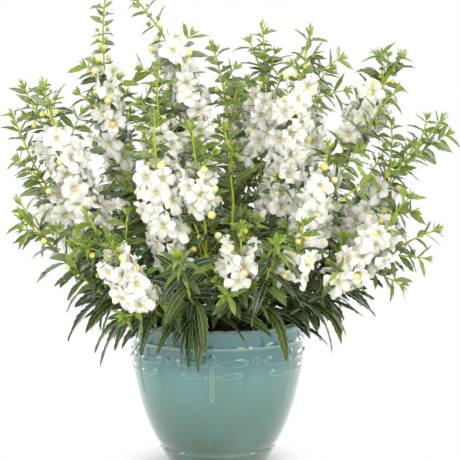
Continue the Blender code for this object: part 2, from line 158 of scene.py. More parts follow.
# Leafy side shoots: the number of the shoot that bears it, the share of that shoot's length
# where it leaves, and its tip.
TWIGS = (
    (7, 0.80, (0.184, 0.012, 0.468)), (7, 0.52, (0.202, -0.020, 0.428)),
    (8, 0.80, (0.236, -0.008, 0.396)), (8, 0.72, (0.262, 0.006, 0.378)),
    (9, 0.60, (0.232, -0.070, 0.244)), (22, 0.45, (0.206, -0.066, 0.212)),
    (10, 0.62, (-0.196, 0.020, 0.412)), (12, 0.55, (-0.224, -0.030, 0.352)),
    (5, 0.66, (0.128, 0.004, 0.452)), (4, 0.55, (0.072, 0.030, 0.440)),
    (3, 0.62, (0.024, 0.020, 0.430)), (18, 0.30, (0.010, -0.168, 0.216)),
    (14, 0.30, (-0.100, -0.140, 0.190)), (5, 0.74, (0.140, 0.002, 0.464)),
    (5, 0.68, (0.146, -0.016, 0.428)), (7, 0.55, (0.158, 0.020, 0.424)),
    (7, 0.44, (0.182, -0.026, 0.404)), (20, 0.50, (0.158, -0.062, 0.368)),
    (20, 0.44, (0.168, -0.090, 0.336)), (8, 0.42, (0.196, -0.034, 0.346)),
    (8, 0.50, (0.222, -0.020, 0.368)), (22, 0.50, (0.214, -0.064, 0.314)),
    (1, 0.50, (-0.158, 0.004, 0.424)), (11, 0.66, (-0.150, -0.040, 0.404)),
    (10, 0.52, (-0.176, 0.012, 0.378)), (4, 0.70, (0.066, 0.030, 0.470)),
    (29, 0.60, (0.100, 0.080, 0.440)), (2, 0.52, (-0.088, 0.014, 0.452)),
    (2, 0.42, (-0.084, 0.000, 0.412)), (1, 0.44, (-0.098, 0.000, 0.402)),
    (8, 0.58, (0.196, -0.010, 0.392)), (1, 0.52, (-0.112, 0.010, 0.440)),
    (1, 0.47, (-0.134, 0.000, 0.408)), (4, 0.74, (0.036, 0.046, 0.482)),
    (6, 0.62, (-0.086, -0.014, 0.416)),
)
# Tips of the long leaves that hang over the front of the lip and beside it.
HANGING_TIPS = (
    (-0.137, -0.060, 0.137), (-0.131, -0.050, 0.161), (-0.152, -0.030, 0.170),
    (-0.066, -0.104, 0.142), (-0.060, -0.112, 0.163), (-0.053, -0.111, 0.141),
    (-0.039, -0.108, 0.124), (-0.031, -0.108, 0.128), (-0.020, -0.107, 0.115),
    (-0.030, -0.104, 0.168), (-0.004, -0.102, 0.171), (-0.046, -0.104, 0.172),
    (0.030, -0.114, 0.158), (0.060, -0.120, 0.164), (0.116, -0.108, 0.177),
    (0.076, -0.098, 0.133), (0.128, -0.062, 0.137), (0.142, -0.060, 0.176),
    (0.164, -0.052, 0.176), (0.176, -0.048, 0.195),
)
HANGING_LENGTH = 0.068          # wished distance from the foot of a hanging leaf to its tip
HANGING_FEET = (0.030, 0.042, 0.054, 0.066)     # lengths along a stem where one may grow
TURN_COST = 0.010               # how much a turn sideways counts against a foot, each radian
CLEAR_LIP = (-0.012, 0.105, -0.075, 0.176)    # low x, high x, nearest y, height: left to those leaves
STEM_RADIUS = (0.0021, 0.0009)  # at the foot and at the tip
TWIG_RADIUS = (0.0012, 0.0008)
STEM_SIDES = 8
STEM_ROW = 0.009                # between rings of points along a stem
STEM_SWAY = 0.0006              # how far a stem waves to a side
TWIG_AGE = 0.45                 # no side shoot is woodier than this share of a shoot
CURVE_STEPS = 24                # straight steps in which a curve's length is measured
STEM_SINK = 0.0015              # how deep a stem stands in the soil
LIP_GAP = 0.002                 # between the lip and a leaf that crosses it
WALL_GAP = 0.0024               # between the pot's wall and a leaf that hangs beside it
LEAF_REACH = 0.105              # beyond this radius a leaf is clear of the pot
INSIDE_RADIUS = 0.0905          # a leaf within this radius lies over the soil
LIP_DEPTH = 0.004               # a leaf no deeper than this in the lip is lifted over it
SOIL_GAP = 0.0015               # between the soil and a leaf

LEAF_STEP = 0.0128              # between pairs on the leafy part
SIDE_STEP = 0.0185              # the same low down on the shoots that lean out to a side
SIDE_FOOT = 0.028               # least sideways place of such a shoot's foot
TWIG_STEP = (0.0125, 0.0085)    # between pairs on a side shoot, low and high
RACEME_STEP = (0.0150, 0.0085)  # between pairs above the open flowers, low and high
BRACT_STEP = 0.013              # between pairs among the open flowers
BLOOM_STEP = 0.0078             # between pairs of open flowers
LOOSE_STEP = 0.0120             # between open flowers on the slim shoots
BLOOM_TURN = 1.92               # angle from one pair of flowers to the next
SPIRAL_TURN = 2.4               # angle from one leaf of a tuft to the next
QUARTER_TURN = math.pi / 2      # angle from one pair of leaves to the next
FLOWER_GAP = 0.0136             # least distance between the hearts of two flowers
SKIRT_LEAVES = 2                # hanging leaves on each shoot that stands near the lip
SKIRT_FROM = 0.045              # least distance of their feet from the middle
FIRST_LEAVES = 0.020            # length of bare stem under the first leaves
LEAFY_SPIKE = (0.72, 0.72)      # the shares for a shoot with leaves only
BUDDING_LENGTH = 0.25           # a longer shoot with leaves only still ends in buds
LEAF_GAP = 0.0095               # least distance from a leaf's middle to a flower's heart
LARGE_BUD = 0.0048              # a wider bud shows its folded petals
BUD_LENGTH = 1.15               # times its width
BUD_REACH, BRACT_BUD_REACH = 0.0115, 0.020      # from the stem, above and among the flowers
BUD_STALK, FLOWER_STALK = 0.0004, 0.00045       # radii
ROSETTE_LEAVES = 7
TWIG_ROSETTE, SPIKE_ROSETTE, STAR_ROSETTE = 0.0115, 0.0110, 0.014     # length of their leaves
STAR_LEAVES = 12
STAR_FROM = 0.82                # share of a shoot's length where its star starts
SEPALS = 5
FLOWER_TRIES, LEAF_TRIES = 7, 4     # how often each is moved before it is left out
SLIM_SHOOTS = (1, 2)            # tall shoots with small leaves above the flowers
# Shares of the length with open flowers, on the shoots where they differ from the row in SHOOTS.
FLOWERING = {
    1: (0.40, 0.70), 2: (0.42, 0.76), 4: (0.52, 0.72), 5: (0.34, 0.78), 6: (0.34, 0.66),
    8: (0.39, 0.61), 10: (0.37, 0.70), 11: (0.40, 0.76), 12: (0.38, 0.62), 14: (0.44, 0.86),
    16: (0.56, 0.76), 18: (0.59, 0.81),
}
STAR_SHOOTS = (24, 25)          # low shoots in front that end in a star of long leaves
OPEN_SHOOTS = (3, 4, 17)        # shoots in the middle that let the flowers behind them show
OPEN_FROM = 0.45                # share of their length above which they bear no side shoots
FLOWER_REACH = (0.0090, 0.0160)     # distance from the stem to a flower's heart
FULL_SHOOTS = (5, 7, 10, 11, 12, 15, 18, 19, 20)    # shoots with fuller clusters
FULL_EXTRA = 0.0026             # how much further their flowers stand out
HALF_TURNS = (0, math.pi)       # leaves and flowers stand in pairs, on opposite sides

# ---------------- stage
FLOOR_FADE = (0.055, 0.125)     # distance over which the floor turns into plain white
LIGHT_AIM = (0.0, 0.0, 0.25)
LIGHTS = (                      # name, place, size, power, and whether reflections show it
    ("key", (1.2, -1.5, 1.9), (1.1, 1.1), 17.0, True),
    ("left_strip", (-1.6, -0.5, 0.7), (0.26, 1.5), 4.0, True),
    ("right_strip", (1.6, -0.5, 0.7), (0.26, 1.5), 3.5, True),
    ("left_rim", (-1.35, 1.40, 0.7), (0.60, 1.5), 9.0, True),
    ("right_rim", (1.35, 1.40, 0.7), (0.60, 1.5), 9.0, True),
    ("front_fill", (-0.7, -2.1, 1.2), (1.2, 1.2), 19.5, False),
    ("top", (0.0, 0.4, 2.2), (1.6, 1.2), 9.0, True),
)
CAMERA_EYE = (0.014, -2.20, 0.52)
CAMERA_AIM = (0.014, 0.0, 0.268)
LENS = 152.0


# ---------------- shape helpers
class Gather:
    """Mesh data of one piece, gathered shape by shape, with marks for its material."""

    def __init__(self):
        self.points, self.faces, self.marks, self.sides = [], [], [], []
        self.total = 0

    def add(self, points, faces, marks, sides=None):
        count = len(points)
        self.points.append(np.asarray(points, dtype=float))
        self.faces.extend(block + self.total for block in faces)
        self.marks.append(np.asarray(marks, dtype=float))
        self.sides.append(np.zeros(count) if sides is None else np.asarray(sides, dtype=float))
        self.total += count

    def build(self, name, finish, sharp_degrees=None):
        mesh = bpy.data.meshes.new(name)
        mesh.vertices.add(self.total)
        mesh.vertices.foreach_set("co", np.concatenate(self.points).ravel())
        sizes = np.concatenate([np.full(len(block), block.shape[1]) for block in self.faces])
        corners = np.concatenate([block.ravel() for block in self.faces])
        mesh.loops.add(len(corners))
        mesh.loops.foreach_set("vertex_index", corners)
        mesh.polygons.add(len(sizes))
        mesh.polygons.foreach_set("loop_start", np.concatenate([[0], np.cumsum(sizes)[:-1]]))
        mesh.update(calc_edges=True)
        mark = mesh.attributes.new("mark", "FLOAT_COLOR", "POINT")
        mark.data.foreach_set("color", np.concatenate(self.marks).ravel())
        side = mesh.attributes.new("side", "FLOAT", "POINT")
        side.data.foreach_set("value", np.concatenate(self.sides))
        mesh.shade_smooth()
        if sharp_degrees:
            mesh.set_sharp_from_angle(angle=math.radians(sharp_degrees))
        mesh.materials.append(finish)
        made = bpy.data.objects.new(name, mesh)
        bpy.context.scene.collection.objects.link(made)
        return made


def place(piece, slot, *nodes):
    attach(piece, BODY)
    if nodes:
        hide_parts(*nodes)


def ring_faces(rows, sides):
    """Quads between closed rings of points."""
    row = np.arange(rows - 1)[:, None] * sides
    here = np.arange(sides)
    after = (here + 1) % sides
    corners = (row + here, row + after, row + sides + after, row + sides + here)
    return np.stack(corners, axis=-1).reshape(-1, 4)


def sleeve_faces(rows, sides):
    """Faces of closed rings, and fans that close both ends at two more points."""
    count = rows * sides
    fans = []
    for here in range(sides):
        after = (here + 1) % sides
        fans.append((count, after, here))
        fans.append((count + 1, count - sides + here, count - sides + after))
    return [ring_faces(rows, sides), np.array(fans)]


def square_to(vector, axis):
    """The part of a vector that stands square to an axis, made one long."""
    return (vector - vector.dot(axis) * axis).normalized()


def around(side, front, turn):
    """Direction at an angle from side towards front."""
    return math.cos(turn) * side + math.sin(turn) * front


def smooth_step(low, high, value):
    share = np.clip((value - low) / (high - low), 0.0, 1.0)
    return share * share * (3 - 2 * share)


def bell(distance, width):
    return np.exp(-(distance / width) ** 2)


# ---------------- node helpers
class Nodes:
    """Short ways to write the nodes of a material or of the world."""

    def __init__(self, owner, shader="Principled BSDF"):
        self.owner = owner
        owner.use_nodes = True
        self.tree = owner.node_tree
        self.shader = self.tree.nodes[shader]

    def new(self, kind, inputs=None, **settings):
        """New node, its inputs fed with numbers, colours or the outputs of other nodes."""
        node = self.tree.nodes.new(kind)
        for key, value in settings.items():
            setattr(node, key, value)
        self.feed(node, inputs or {})
        return node

    def feed(self, node, inputs):
        for key, value in inputs.items():
            target = node.inputs[key]
            if isinstance(value, bpy.types.NodeSocket):
                self.tree.links.new(value, target)
            elif isinstance(value, tuple) and len(target.default_value) > len(value):
                target.default_value = (*value, 1.0)
            else:
                target.default_value = value

    def attribute(self, name, output):
        return self.new("ShaderNodeAttribute", attribute_name=name).outputs[output]

    def marks(self):
        """The four numbers that each point of a piece carries."""
        colour = self.new("ShaderNodeSeparateColor", {0: self.attribute("mark", "Color")})
        return (*colour.outputs, self.attribute("mark", "Alpha"))

    def mix(self, share, first, second):
        return self.new("ShaderNodeMix", data_type="RGBA",
                        inputs={0: share, 6: first, 7: second}).outputs[2]

    def layers(self, base, *coats):
        """Colour with coats over it, each a share and a colour."""
        for share, colour in coats:
            base = self.mix(share, base, colour)
        return base

    def math(self, operation, first, second=0.0):
        return self.new("ShaderNodeMath", {0: first, 1: second}, operation=operation).outputs[0]

    def times(self, first, second):
        return self.math("MULTIPLY", first, second)

    def minus(self, first, second):
        return self.math("SUBTRACT", first, second)

    def off_middle(self, across):
        """0 in the middle of a leaf or lobe, 1 at both edges."""
        return self.math("ABSOLUTE", self.minus(self.times(across, 2.0), 1.0))

    def span(self, value, low, high, to_low=0.0, to_high=1.0):
        """Smooth step from one value to another."""
        limits = {"From Min": low, "From Max": high, "To Min": to_low, "To Max": to_high}
        return self.new("ShaderNodeMapRange", {"Value": value, **limits},
                        interpolation_type="SMOOTHSTEP").outputs["Result"]

    def where(self, stretch=(1.0, 1.0, 1.0)):
        """Object coordinates in metres, stretched."""
        where = self.new("ShaderNodeTexCoord").outputs["Object"]
        return self.new("ShaderNodeMapping", {"Vector": where, "Scale": stretch}).outputs["Vector"]

    def noise(self, scale, stretch=(1.0, 1.0, 1.0), detail=3.0, roughness=0.5):
        inputs = {"Scale": scale, "Detail": detail, "Roughness": roughness, "Vector": self.where(stretch)}
        return self.new("ShaderNodeTexNoise", inputs).outputs["Fac"]

    def bump(self, height, strength, distance):
        inputs = {"Height": height, "Strength": strength, "Distance": distance}
        self.set(Normal=self.new("ShaderNodeBump", inputs).outputs["Normal"])

    def set(self, **inputs):
        """Feed the shader's own inputs; an underscore in a name stands for a space."""
        self.feed(self.shader, {name.replace("_", " "): value for name, value in inputs.items()})

    def finish(self, colour, roughness):
        self.set(Base_Color=colour, Roughness=roughness)
        return self.owner

    def seen(self):
        """1 for what the camera or a reflection sees, 0 for the light on the object."""
        path = self.new("ShaderNodeLightPath")
        return self.math("MAXIMUM", path.outputs["Is Camera Ray"], path.outputs["Is Glossy Ray"])

    def blend(self, share, second, output):
        """Mix a second shader into the first, and send both to the output."""
        inputs = {0: share, 1: self.shader.outputs[0], 2: second.outputs[0]}
        mixed = self.new("ShaderNodeMixShader", inputs).outputs[0]
        self.feed(self.tree.nodes[output], {"Surface": mixed})


# ---------------- materials
def glaze_material():
    """Turquoise glaze: streaked downwards, pale where it is thin, deeper where it pools."""
    n = Nodes(bpy.data.materials.new("turquoise_glaze"))
    thin, pool, inside, not_straw = n.marks()
    height = n.new("ShaderNodeSeparateXYZ", {0: n.where()}).outputs["Z"]
    streaks = n.noise(1.0, (38, 38, 5), detail=4.0)
    clouds = n.noise(9.0, detail=2.0)
    stains = n.noise(1.0, (34, 34, 26), detail=5.0, roughness=0.65)
    specks = n.noise(900.0, detail=1.0)
    band = n.times(n.span(height, 0.112, 0.134), n.minus(1.0, inside))
    base = n.layers(
        (0.075, 0.180, 0.158),
        (n.span(height, 0.06, 0.12), (0.098, 0.240, 0.226)),            # bluer upwards
        (n.span(height, 0.09, 0.015), (0.036, 0.090, 0.056)),           # darker at the foot
        (n.span(streaks, 0.35, 0.70, 0.0, 0.6), (0.072, 0.180, 0.160)),
        (n.span(clouds, 0.50, 0.75, 0.0, 0.35), (0.110, 0.205, 0.135)),
        (n.span(stains, 0.60, 0.74, 0.0, 0.45), (0.170, 0.230, 0.105)),
        (n.times(pool, 0.40), (0.055, 0.175, 0.180)),
        (n.times(band, 0.64), (0.034, 0.130, 0.148)),                   # darker and bluer over the upper band, behind the relief
        (n.times(thin, n.span(height, 0.02, 0.05, 0.30, 0.62)), (0.400, 0.480, 0.330)),
        (n.times(n.minus(1.0, not_straw), 0.20), (0.290, 0.390, 0.210)),
        (n.span(specks, 0.66, 0.74, 0.0, 0.25), (0.080, 0.150, 0.130)),
        (n.times(inside, 0.35), (0.100, 0.200, 0.185)),
    )
    n.set(Coat_Weight=1.0, Coat_IOR=1.60, Coat_Roughness=0.03)
    n.bump(n.noise(42.0, detail=1.0), 0.12, 0.0015)
    return n.finish(base, n.span(clouds, 0.3, 0.7, 0.10, 0.19))


def soil_material():
    n = Nodes(bpy.data.materials.new("potting_soil"))
    grain = n.noise(260.0, detail=6.0, roughness=0.7)
    patch = n.noise(34.0)
    base = n.layers(
        (0.012, 0.008, 0.006),
        (n.span(grain, 0.35, 0.7), (0.062, 0.040, 0.027)),
        (n.span(patch, 0.45, 0.75, 0.0, 0.6), (0.035, 0.023, 0.016)),
    )
    n.bump(grain, 0.9, 0.0025)
    return n.finish(base, n.span(patch, 0.3, 0.7, 0.82, 0.97))


def chip_material():
    """Bark chips and a few white grains, told apart by their mark."""
    n = Nodes(bpy.data.materials.new("bark_and_perlite"))
    kind, tone = n.marks()[:2]
    grain = n.noise(300.0, (1, 1, 3), detail=5.0)
    bark = n.layers((0.045, 0.026, 0.016), (tone, (0.150, 0.085, 0.045)),
                    (n.span(grain, 0.35, 0.65), (0.028, 0.017, 0.011)))
    white = n.mix(n.span(grain, 0.40, 0.65), (0.62, 0.60, 0.55), (0.42, 0.39, 0.34))
    n.bump(grain, 0.6, 0.001)
    return n.finish(n.mix(kind, bark, white), n.span(grain, 0.3, 0.7, 0.75, 0.95))


def leaf_material():
    """Marks: along the leaf, across it, a seed, and how young it is; side tells top from under."""
    n = Nodes(bpy.data.materials.new("angelonia_leaf"))
    along, across, seed, young = n.marks()
    under = n.math("GREATER_THAN", n.attribute("side", "Fac"), 0.501)
    off_rib = n.off_middle(across)
    rib = n.span(off_rib, 0.0, 0.13, 1.0, 0.0)
    # pale rim: partly a paler leaf margin, partly painted highlight along the toothed edges
    edge = n.span(off_rib, 0.82, 1.0)
    slant = n.minus(n.times(along, 62.0), n.times(off_rib, 6.5))
    veins = n.times(n.span(n.math("SINE", slant), 0.55, 1.0), n.span(off_rib, 0.05, 0.3))
    blotch = n.noise(120.0)
    old = n.layers((0.002, 0.007, 0.004), (n.span(seed, 0.35, 1.0), (0.026, 0.066, 0.018)),
                   (n.span(blotch, 0.40, 0.70, 0.0, 0.7), (0.017, 0.038, 0.024)))
    fresh = n.mix(seed, (0.200, 0.325, 0.014), (0.400, 0.530, 0.038))
    top = n.layers(
        old,
        (young, fresh),
        (n.times(veins, 0.34), (0.130, 0.210, 0.060)),
        (n.times(rib, 0.80), (0.370, 0.470, 0.180)),
        (n.times(edge, 0.64), (0.340, 0.440, 0.170)),
    )
    below = n.layers(
        (0.240, 0.310, 0.180),
        (young, (0.360, 0.470, 0.090)),
        (n.times(rib, 0.6), (0.290, 0.350, 0.190)),
        (n.times(veins, 0.35), (0.200, 0.250, 0.140)),
    )
    n.bump(n.minus(blotch, n.times(veins, 0.8)), 0.35, 0.0006)
    n.set(Specular_IOR_Level=0.40)
    roughness = n.math("ADD", n.span(blotch, 0.3, 0.7, 0.22, 0.34), n.times(under, 0.2))
    return n.finish(n.mix(under, top, below), roughness)


def stem_material():
    """Marks: age along the shoot, ripeness of a bud, a seed, and the place on a bud."""
    n = Nodes(bpy.data.materials.new("angelonia_stem"))
    high, ripe, seed, place_on_bud = n.marks()
    grain = n.noise(1.0, (900, 900, 90))
    wood = n.mix(seed, (0.085, 0.110, 0.030), (0.130, 0.150, 0.045))
    green = n.mix(seed, (0.340, 0.440, 0.020), (0.480, 0.560, 0.038))
    base = n.layers(wood, (n.span(high, 0.10, 0.55), green),
                    (n.span(grain, 0.45, 0.75, 0.0, 0.35), (0.140, 0.210, 0.030)))
    bud = n.layers(
        (0.210, 0.300, 0.030),
        (n.span(ripe, 0.25, 0.70), (0.800, 0.760, 0.190)),
        (n.span(ripe, 0.72, 1.0), (0.830, 0.800, 0.420)),
        (n.span(place_on_bud, 0.25, 0.0, 0.0, 0.75), (0.200, 0.300, 0.060)),
        (n.span(n.noise(420.0), 0.50, 0.72, 0.0, 0.35), (0.420, 0.430, 0.120)),
    )
    n.bump(grain, 0.25, 0.0004)
    return n.finish(n.mix(n.span(ripe, 0.02, 0.08), base, bud), n.span(grain, 0.3, 0.7, 0.38, 0.55))


def petal_material():
    """Marks: distance from the throat, place across a lobe, a seed, and how low on the flower."""
    n = Nodes(bpy.data.materials.new("angelonia_petal"))
    out, across, seed, low = n.marks()
    off_line = n.off_middle(across)
    fan = n.math("SINE", n.times(off_line, 17.0))
    veins = n.times(n.span(fan, 0.2, 1.0), n.span(out, 0.40, 0.95, 1.0, 0.25))
    # painted shade: darker beige lines in the creases between the lobes, near the throat
    painted_crease_shade = n.times(n.span(off_line, 0.72, 1.0), n.span(out, 1.0, 0.60))
    waves = n.noise(230.0, detail=2.0, roughness=0.6)
    # painted shade: thin beige-grey lines where the petal crinkles
    painted_fold_shade = n.span(n.math("ABSOLUTE", n.minus(waves, 0.5)), 0.0, 0.045, 1.0, 0.0)
    spot = n.times(n.span(low, 0.60, 0.85), n.span(out, 0.38, 0.18))
    dots = n.span(n.noise(1500.0, detail=1.0), 0.56, 0.64)
    # greyish-beige throat: partly its own cream tint, partly painted shade in the cupped throat
    throat = n.layers(
        (0.740, 0.740, 0.600),
        # painted shade under the upper lobes, at the top of the throat
        (n.span(low, 0.30, 0.10), (0.560, 0.480, 0.340)),
        (spot, (0.680, 0.660, 0.140)),
        (n.times(dots, 0.25), (0.360, 0.240, 0.130)),
    )
    base = n.layers(
        (0.885, 0.870, 0.810),
        (seed, (0.910, 0.900, 0.860)),
        (n.times(veins, 0.12), (0.660, 0.690, 0.610)),
        # towards the throat: partly a cream tint, partly painted shade that deepens into the cup
        (n.span(out, 0.62, 0.36, 0.0, 0.55), (0.700, 0.690, 0.500)),
        (n.times(painted_crease_shade, 0.85), (0.560, 0.520, 0.350)),
        (n.times(painted_fold_shade, 0.36), (0.560, 0.530, 0.380)),
        (n.span(out, 0.38, 0.22, 0.0, 0.80), throat),
    )
    crepe = n.noise(700.0)
    n.bump(n.math("ADD", crepe, n.times(veins, -0.6)), 0.45, 0.0008)
    n.set(Subsurface_Weight=0.15, Subsurface_Radius=(1.0, 0.95, 0.80), Subsurface_Scale=0.001,
          Specular_IOR_Level=0.20)
    return n.finish(base, n.span(crepe, 0.3, 0.7, 0.50, 0.68))


# ---------------- making the pot
def profile_curve(points, spacing):
    """Smooth line through profile points, Catmull-Rom, with rows at the spacing wanted there."""
    line = [Vector(point) for point in points]
    line = [2 * line[0] - line[1], *line, 2 * line[-1] - line[-2]]
    rows = []
    for before, start, end, after in zip(line, line[1:], line[2:], line[3:]):
        steps = max(2, math.ceil((end - start).length / spacing((start.y + end.y) / 2)))
        for step in range(steps):
            t = step / steps
            rows.append(0.5 * (2 * start + (end - before) * t
                               + (2 * before - 5 * start + 4 * end - after) * t * t
                               + (3 * start - before - 3 * end + after) * t * t * t))
    rows.append(line[-2])
    return rows


def bar_distance(along, height, shape):
    """Signed distance to an upright round-ended bar."""
    offset, middle, half_width, half_height = shape
    reach = half_height - half_width
    up = height - middle - np.clip(height - middle, -reach, reach)
    return np.hypot(along - offset, up) - half_width


def wing_distance(along, height, shape):
    """Signed distance, roughly, to a wing that is slim at the body and full at its end."""
    offset, middle, half_width, half_height = shape
    u = (along - offset) / half_width
    full = half_height * (0.80 + 0.20 * np.clip(u, -1, 1))
    rise = WING_RISE * np.clip(u, -1, 1)
    v = (height - middle - rise) / full
    return (np.power(np.abs(u) ** WING_POWER + np.abs(v) ** WING_POWER, 1 / WING_POWER) - 1) * half_height


def relief(angle, height, radius):
    """Lift of the mouldings at places on the wall, and marks for thin, pooled and straw glaze."""
    turn = np.mod(angle - FIRST_FIGURE + FIGURE_STEP / 2, FIGURE_STEP) - FIGURE_STEP / 2
    along = turn * radius
    bead_along = (np.mod(angle - FIRST_FIGURE, FIGURE_STEP) - FIGURE_STEP / 2) * radius
    wings = np.minimum(wing_distance(np.abs(along), height, UPPER_WING),
                       wing_distance(np.abs(along), height, LOWER_WING))
    bar = bar_distance(along, height, BODY_BAR)
    head = bar_distance(along, height, HEAD)
    bead = bar_distance(bead_along, height, BEAD)
    nearest = np.min([wings, bar, head, bead], axis=0)
    mouldings = ((wings, 0.80, EDGE_SOFTNESS), (bar, 1.0, EDGE_SOFTNESS * 1.6), (head, 1.5, DOME),
                 (bead, 1.6, DOME))
    lift = np.max([full * smooth_step(EDGE_SOFTNESS, -inner, distance)
                   for distance, full, inner in mouldings], axis=0)
    hollow = 0.35 * smooth_step(-0.0012, -0.0030, wings)
    thin = 0.42 * bell(nearest, 0.00055)
    pool = bell(nearest - 0.0020, 0.0011) + 0.6 * smooth_step(-0.0014, -0.003, wings)
    straw = smooth_step(EDGE_SOFTNESS, -EDGE_SOFTNESS, bar)
    return (lift - hollow) * RELIEF_LIFT, thin, np.clip(pool, 0, 1), straw


def pot_columns():
    """Angles round the pot, closer together where the upright parts of the relief stand."""
    angles = []
    for figure in range(FIGURES):
        start = FIRST_FIGURE + figure * FIGURE_STEP
        offset = -FIGURE_STEP / 2
        while offset < FIGURE_STEP / 2 - 0.004:
            angles.append(start + offset)
            off_middle = min(abs(offset), FIGURE_STEP / 2 - abs(offset))
            offset += FINE_TURN if off_middle < FINE_REACH else COARSE_TURN
    return np.array(angles)


def outer_spacing(height):
    if FINE_BAND[0] < height < FINE_BAND[1]:
        return FINE_ROW
    return CORD_ROW if height > FINE_BAND[1] or height < BASE_BAND_TOP else COARSE_ROW


def edge_marks(radius, height):
    """Where the glaze runs thin on the raised cord, the lip and the base band, and pools."""
    thin, pool = (sum(strength * bell(height - middle, spread) for middle, spread, strength in edges)
                  for edges in (THIN_EDGES, POOL_EDGES))
    return np.clip(thin, 0, 1), np.clip(pool, 0, 1) * (radius > GLAZED_FROM)


def make_pot(finish):
    foot = [Vector((radius, 0.0)) for radius in FOOT_RINGS]
    outer = profile_curve(POT_OUTER[1:], outer_spacing)
    inner = profile_curve((POT_OUTER[-1], *POT_INNER), lambda height: INNER_ROW)[1:]
    floor = [Vector((radius, FLOOR_TOP)) for radius in FLOOR_RINGS]
    rows = [*foot, *outer, *inner, *floor]
    angle = pot_columns()
    one = np.ones(len(angle))
    points, marks = [], []
    for number, (radius, height) in enumerate(rows):
        indoors = number >= len(foot) + len(outer)
        outside = number >= len(foot) and not indoors
        thin, pool = edge_marks(radius, height)
        lift = straw = sway = 0.0
        if outside:
            sway = OUT_OF_ROUND * np.sin(2 * angle + 0.7) * (height / RIM_TOP)
        if outside and FINE_BAND[0] < height < FINE_BAND[1]:
            lift, band_thin, band_pool, straw = relief(angle, height, radius)
            thin = np.maximum(thin, band_thin)
            pool = np.maximum(pool, band_pool)
        full = radius + lift + sway
        points.append(np.stack([full * np.cos(angle), full * np.sin(angle), height * one], axis=1))
        marks.append(np.stack([thin * one, pool * one * outside, indoors * one, (1 - straw) * one], axis=1))
    points.append([(0.0, 0.0, 0.0), (0.0, 0.0, FLOOR_TOP)])
    marks.append([(0.0, 0.0, 0.0, 1.0), (0.0, 0.0, 1.0, 1.0)])
    data = Gather()
    data.add(np.concatenate(points), sleeve_faces(len(rows), len(angle)), np.concatenate(marks))
    pot = data.build("glazed_pot", finish, sharp_degrees=60)
    drill_holes(pot)
    place(pot, "glaze", "pot")


def drill_holes(pot):
    """Drain holes through the pot's floor."""
    cutter = bmesh.new()
    for number in range(DRAIN_HOLES):
        angle = DRAIN_TURN + 2 * math.pi * number / DRAIN_HOLES
        made = bmesh.ops.create_cone(cutter, cap_ends=True, segments=32, radius1=DRAIN_RADIUS,
                                     radius2=DRAIN_RADIUS, depth=4 * FLOOR_TOP)
        bmesh.ops.translate(cutter, verts=made["verts"], vec=(
            DRAIN_CIRCLE * math.cos(angle), DRAIN_CIRCLE * math.sin(angle), FLOOR_TOP / 2))
    mesh = bpy.data.meshes.new("drill")
    cutter.to_mesh(mesh)
    cutter.free()
    drill = bpy.data.objects.new("drill", mesh)
    bpy.context.scene.collection.objects.link(drill)
    step = pot.modifiers.new("Drain", "BOOLEAN")
    step.operation = "DIFFERENCE"
    step.solver = "EXACT"
    step.object = drill
    settled = pot.evaluated_get(bpy.context.evaluated_depsgraph_get())
    cut = bpy.data.meshes.new_from_object(settled)
    pot.modifiers.clear()
    pot.data = cut
    bpy.data.objects.remove(drill)


# ---------------- making the soil
def soil_height(radius):
    return np.interp(radius, SOIL_RADII, SOIL_HEIGHTS)


def soil_surface(x, y):
    """Height of the lumpy soil, which never rises above the even mound where stems stand."""
    lumps = noise.fractal(Vector((x * 90, y * 90, 0.0)), 0.9, 2.1, 4)
    fine = noise.noise(Vector((x * 420, y * 420, 3.0)))
    return soil_height(math.hypot(x, y)) - SOIL_SINK + 0.0011 * lumps + 0.0006 * fine


def make_soil(finish):
    circle = [2 * math.pi * column / SOIL_COLUMNS for column in range(SOIL_COLUMNS)]
    rings = [SOIL_EDGE * (step / SOIL_RINGS) ** 0.8 for step in range(SOIL_RINGS, 0, -1)]
    side = [(radius - SOIL_SIDE_GAP, height) for radius, height in reversed(POT_INNER[1:-1])]
    points = [(radius * math.cos(a), radius * math.sin(a), height)
              for radius, height in side for a in circle]
    for radius in rings:
        for a in circle:
            x, y = radius * math.cos(a), radius * math.sin(a)
            points.append((x, y, soil_surface(x, y)))
    points += [(0.0, 0.0, FLOOR_TOP + SOIL_SIDE_GAP), (0.0, 0.0, soil_surface(0.0, 0.0))]
    data = Gather()
    data.add(points, sleeve_faces(len(side) + len(rings), SOIL_COLUMNS), np.ones((len(points), 4)))
    place(data.build("soil_bed", finish), "soil", "soil")


def chip_shape(rng, size, flatness):
    """Small broken lump: the eight corners of a block, each pushed at random."""
    return [Vector([sign * rng.uniform(0.65, 1.15) * size * flat
                    for sign, flat in zip(signs, (1.0, 0.7, flatness))])
            for signs in product((-1, 1), repeat=3)]


def make_chips(finish):
    """Bark bits and white grains that lie half sunk on the soil."""
    rng = random.Random(5)
    data = Gather()
    for _ in range(CHIPS):
        white = rng.random() < WHITE_SHARE
        size = rng.uniform(*(WHITE_SIZE if white else BARK_SIZE))
        radius = CHIP_REACH * math.sqrt(rng.random())
        angle = rng.uniform(0, 2 * math.pi)
        x, y = radius * math.cos(angle), radius * math.sin(angle)
        middle = Vector((x, y, soil_surface(x, y) + 0.25 * size))
        turn = Vector((rng.gauss(0, 1), rng.gauss(0, 1), rng.gauss(0, 3))).to_track_quat("Z", "Y")
        flatness = WHITE_FLATNESS if white else BARK_FLATNESS
        points = [middle + turn @ corner for corner in chip_shape(rng, size, flatness)]
        mark = (1.0 if white else 0.0, rng.random(), rng.random(), 1.0)
        data.add(points, [CHIP_FACES], [mark] * len(points))
    place(data.build("bark_and_perlite", finish, sharp_degrees=30), "soil")


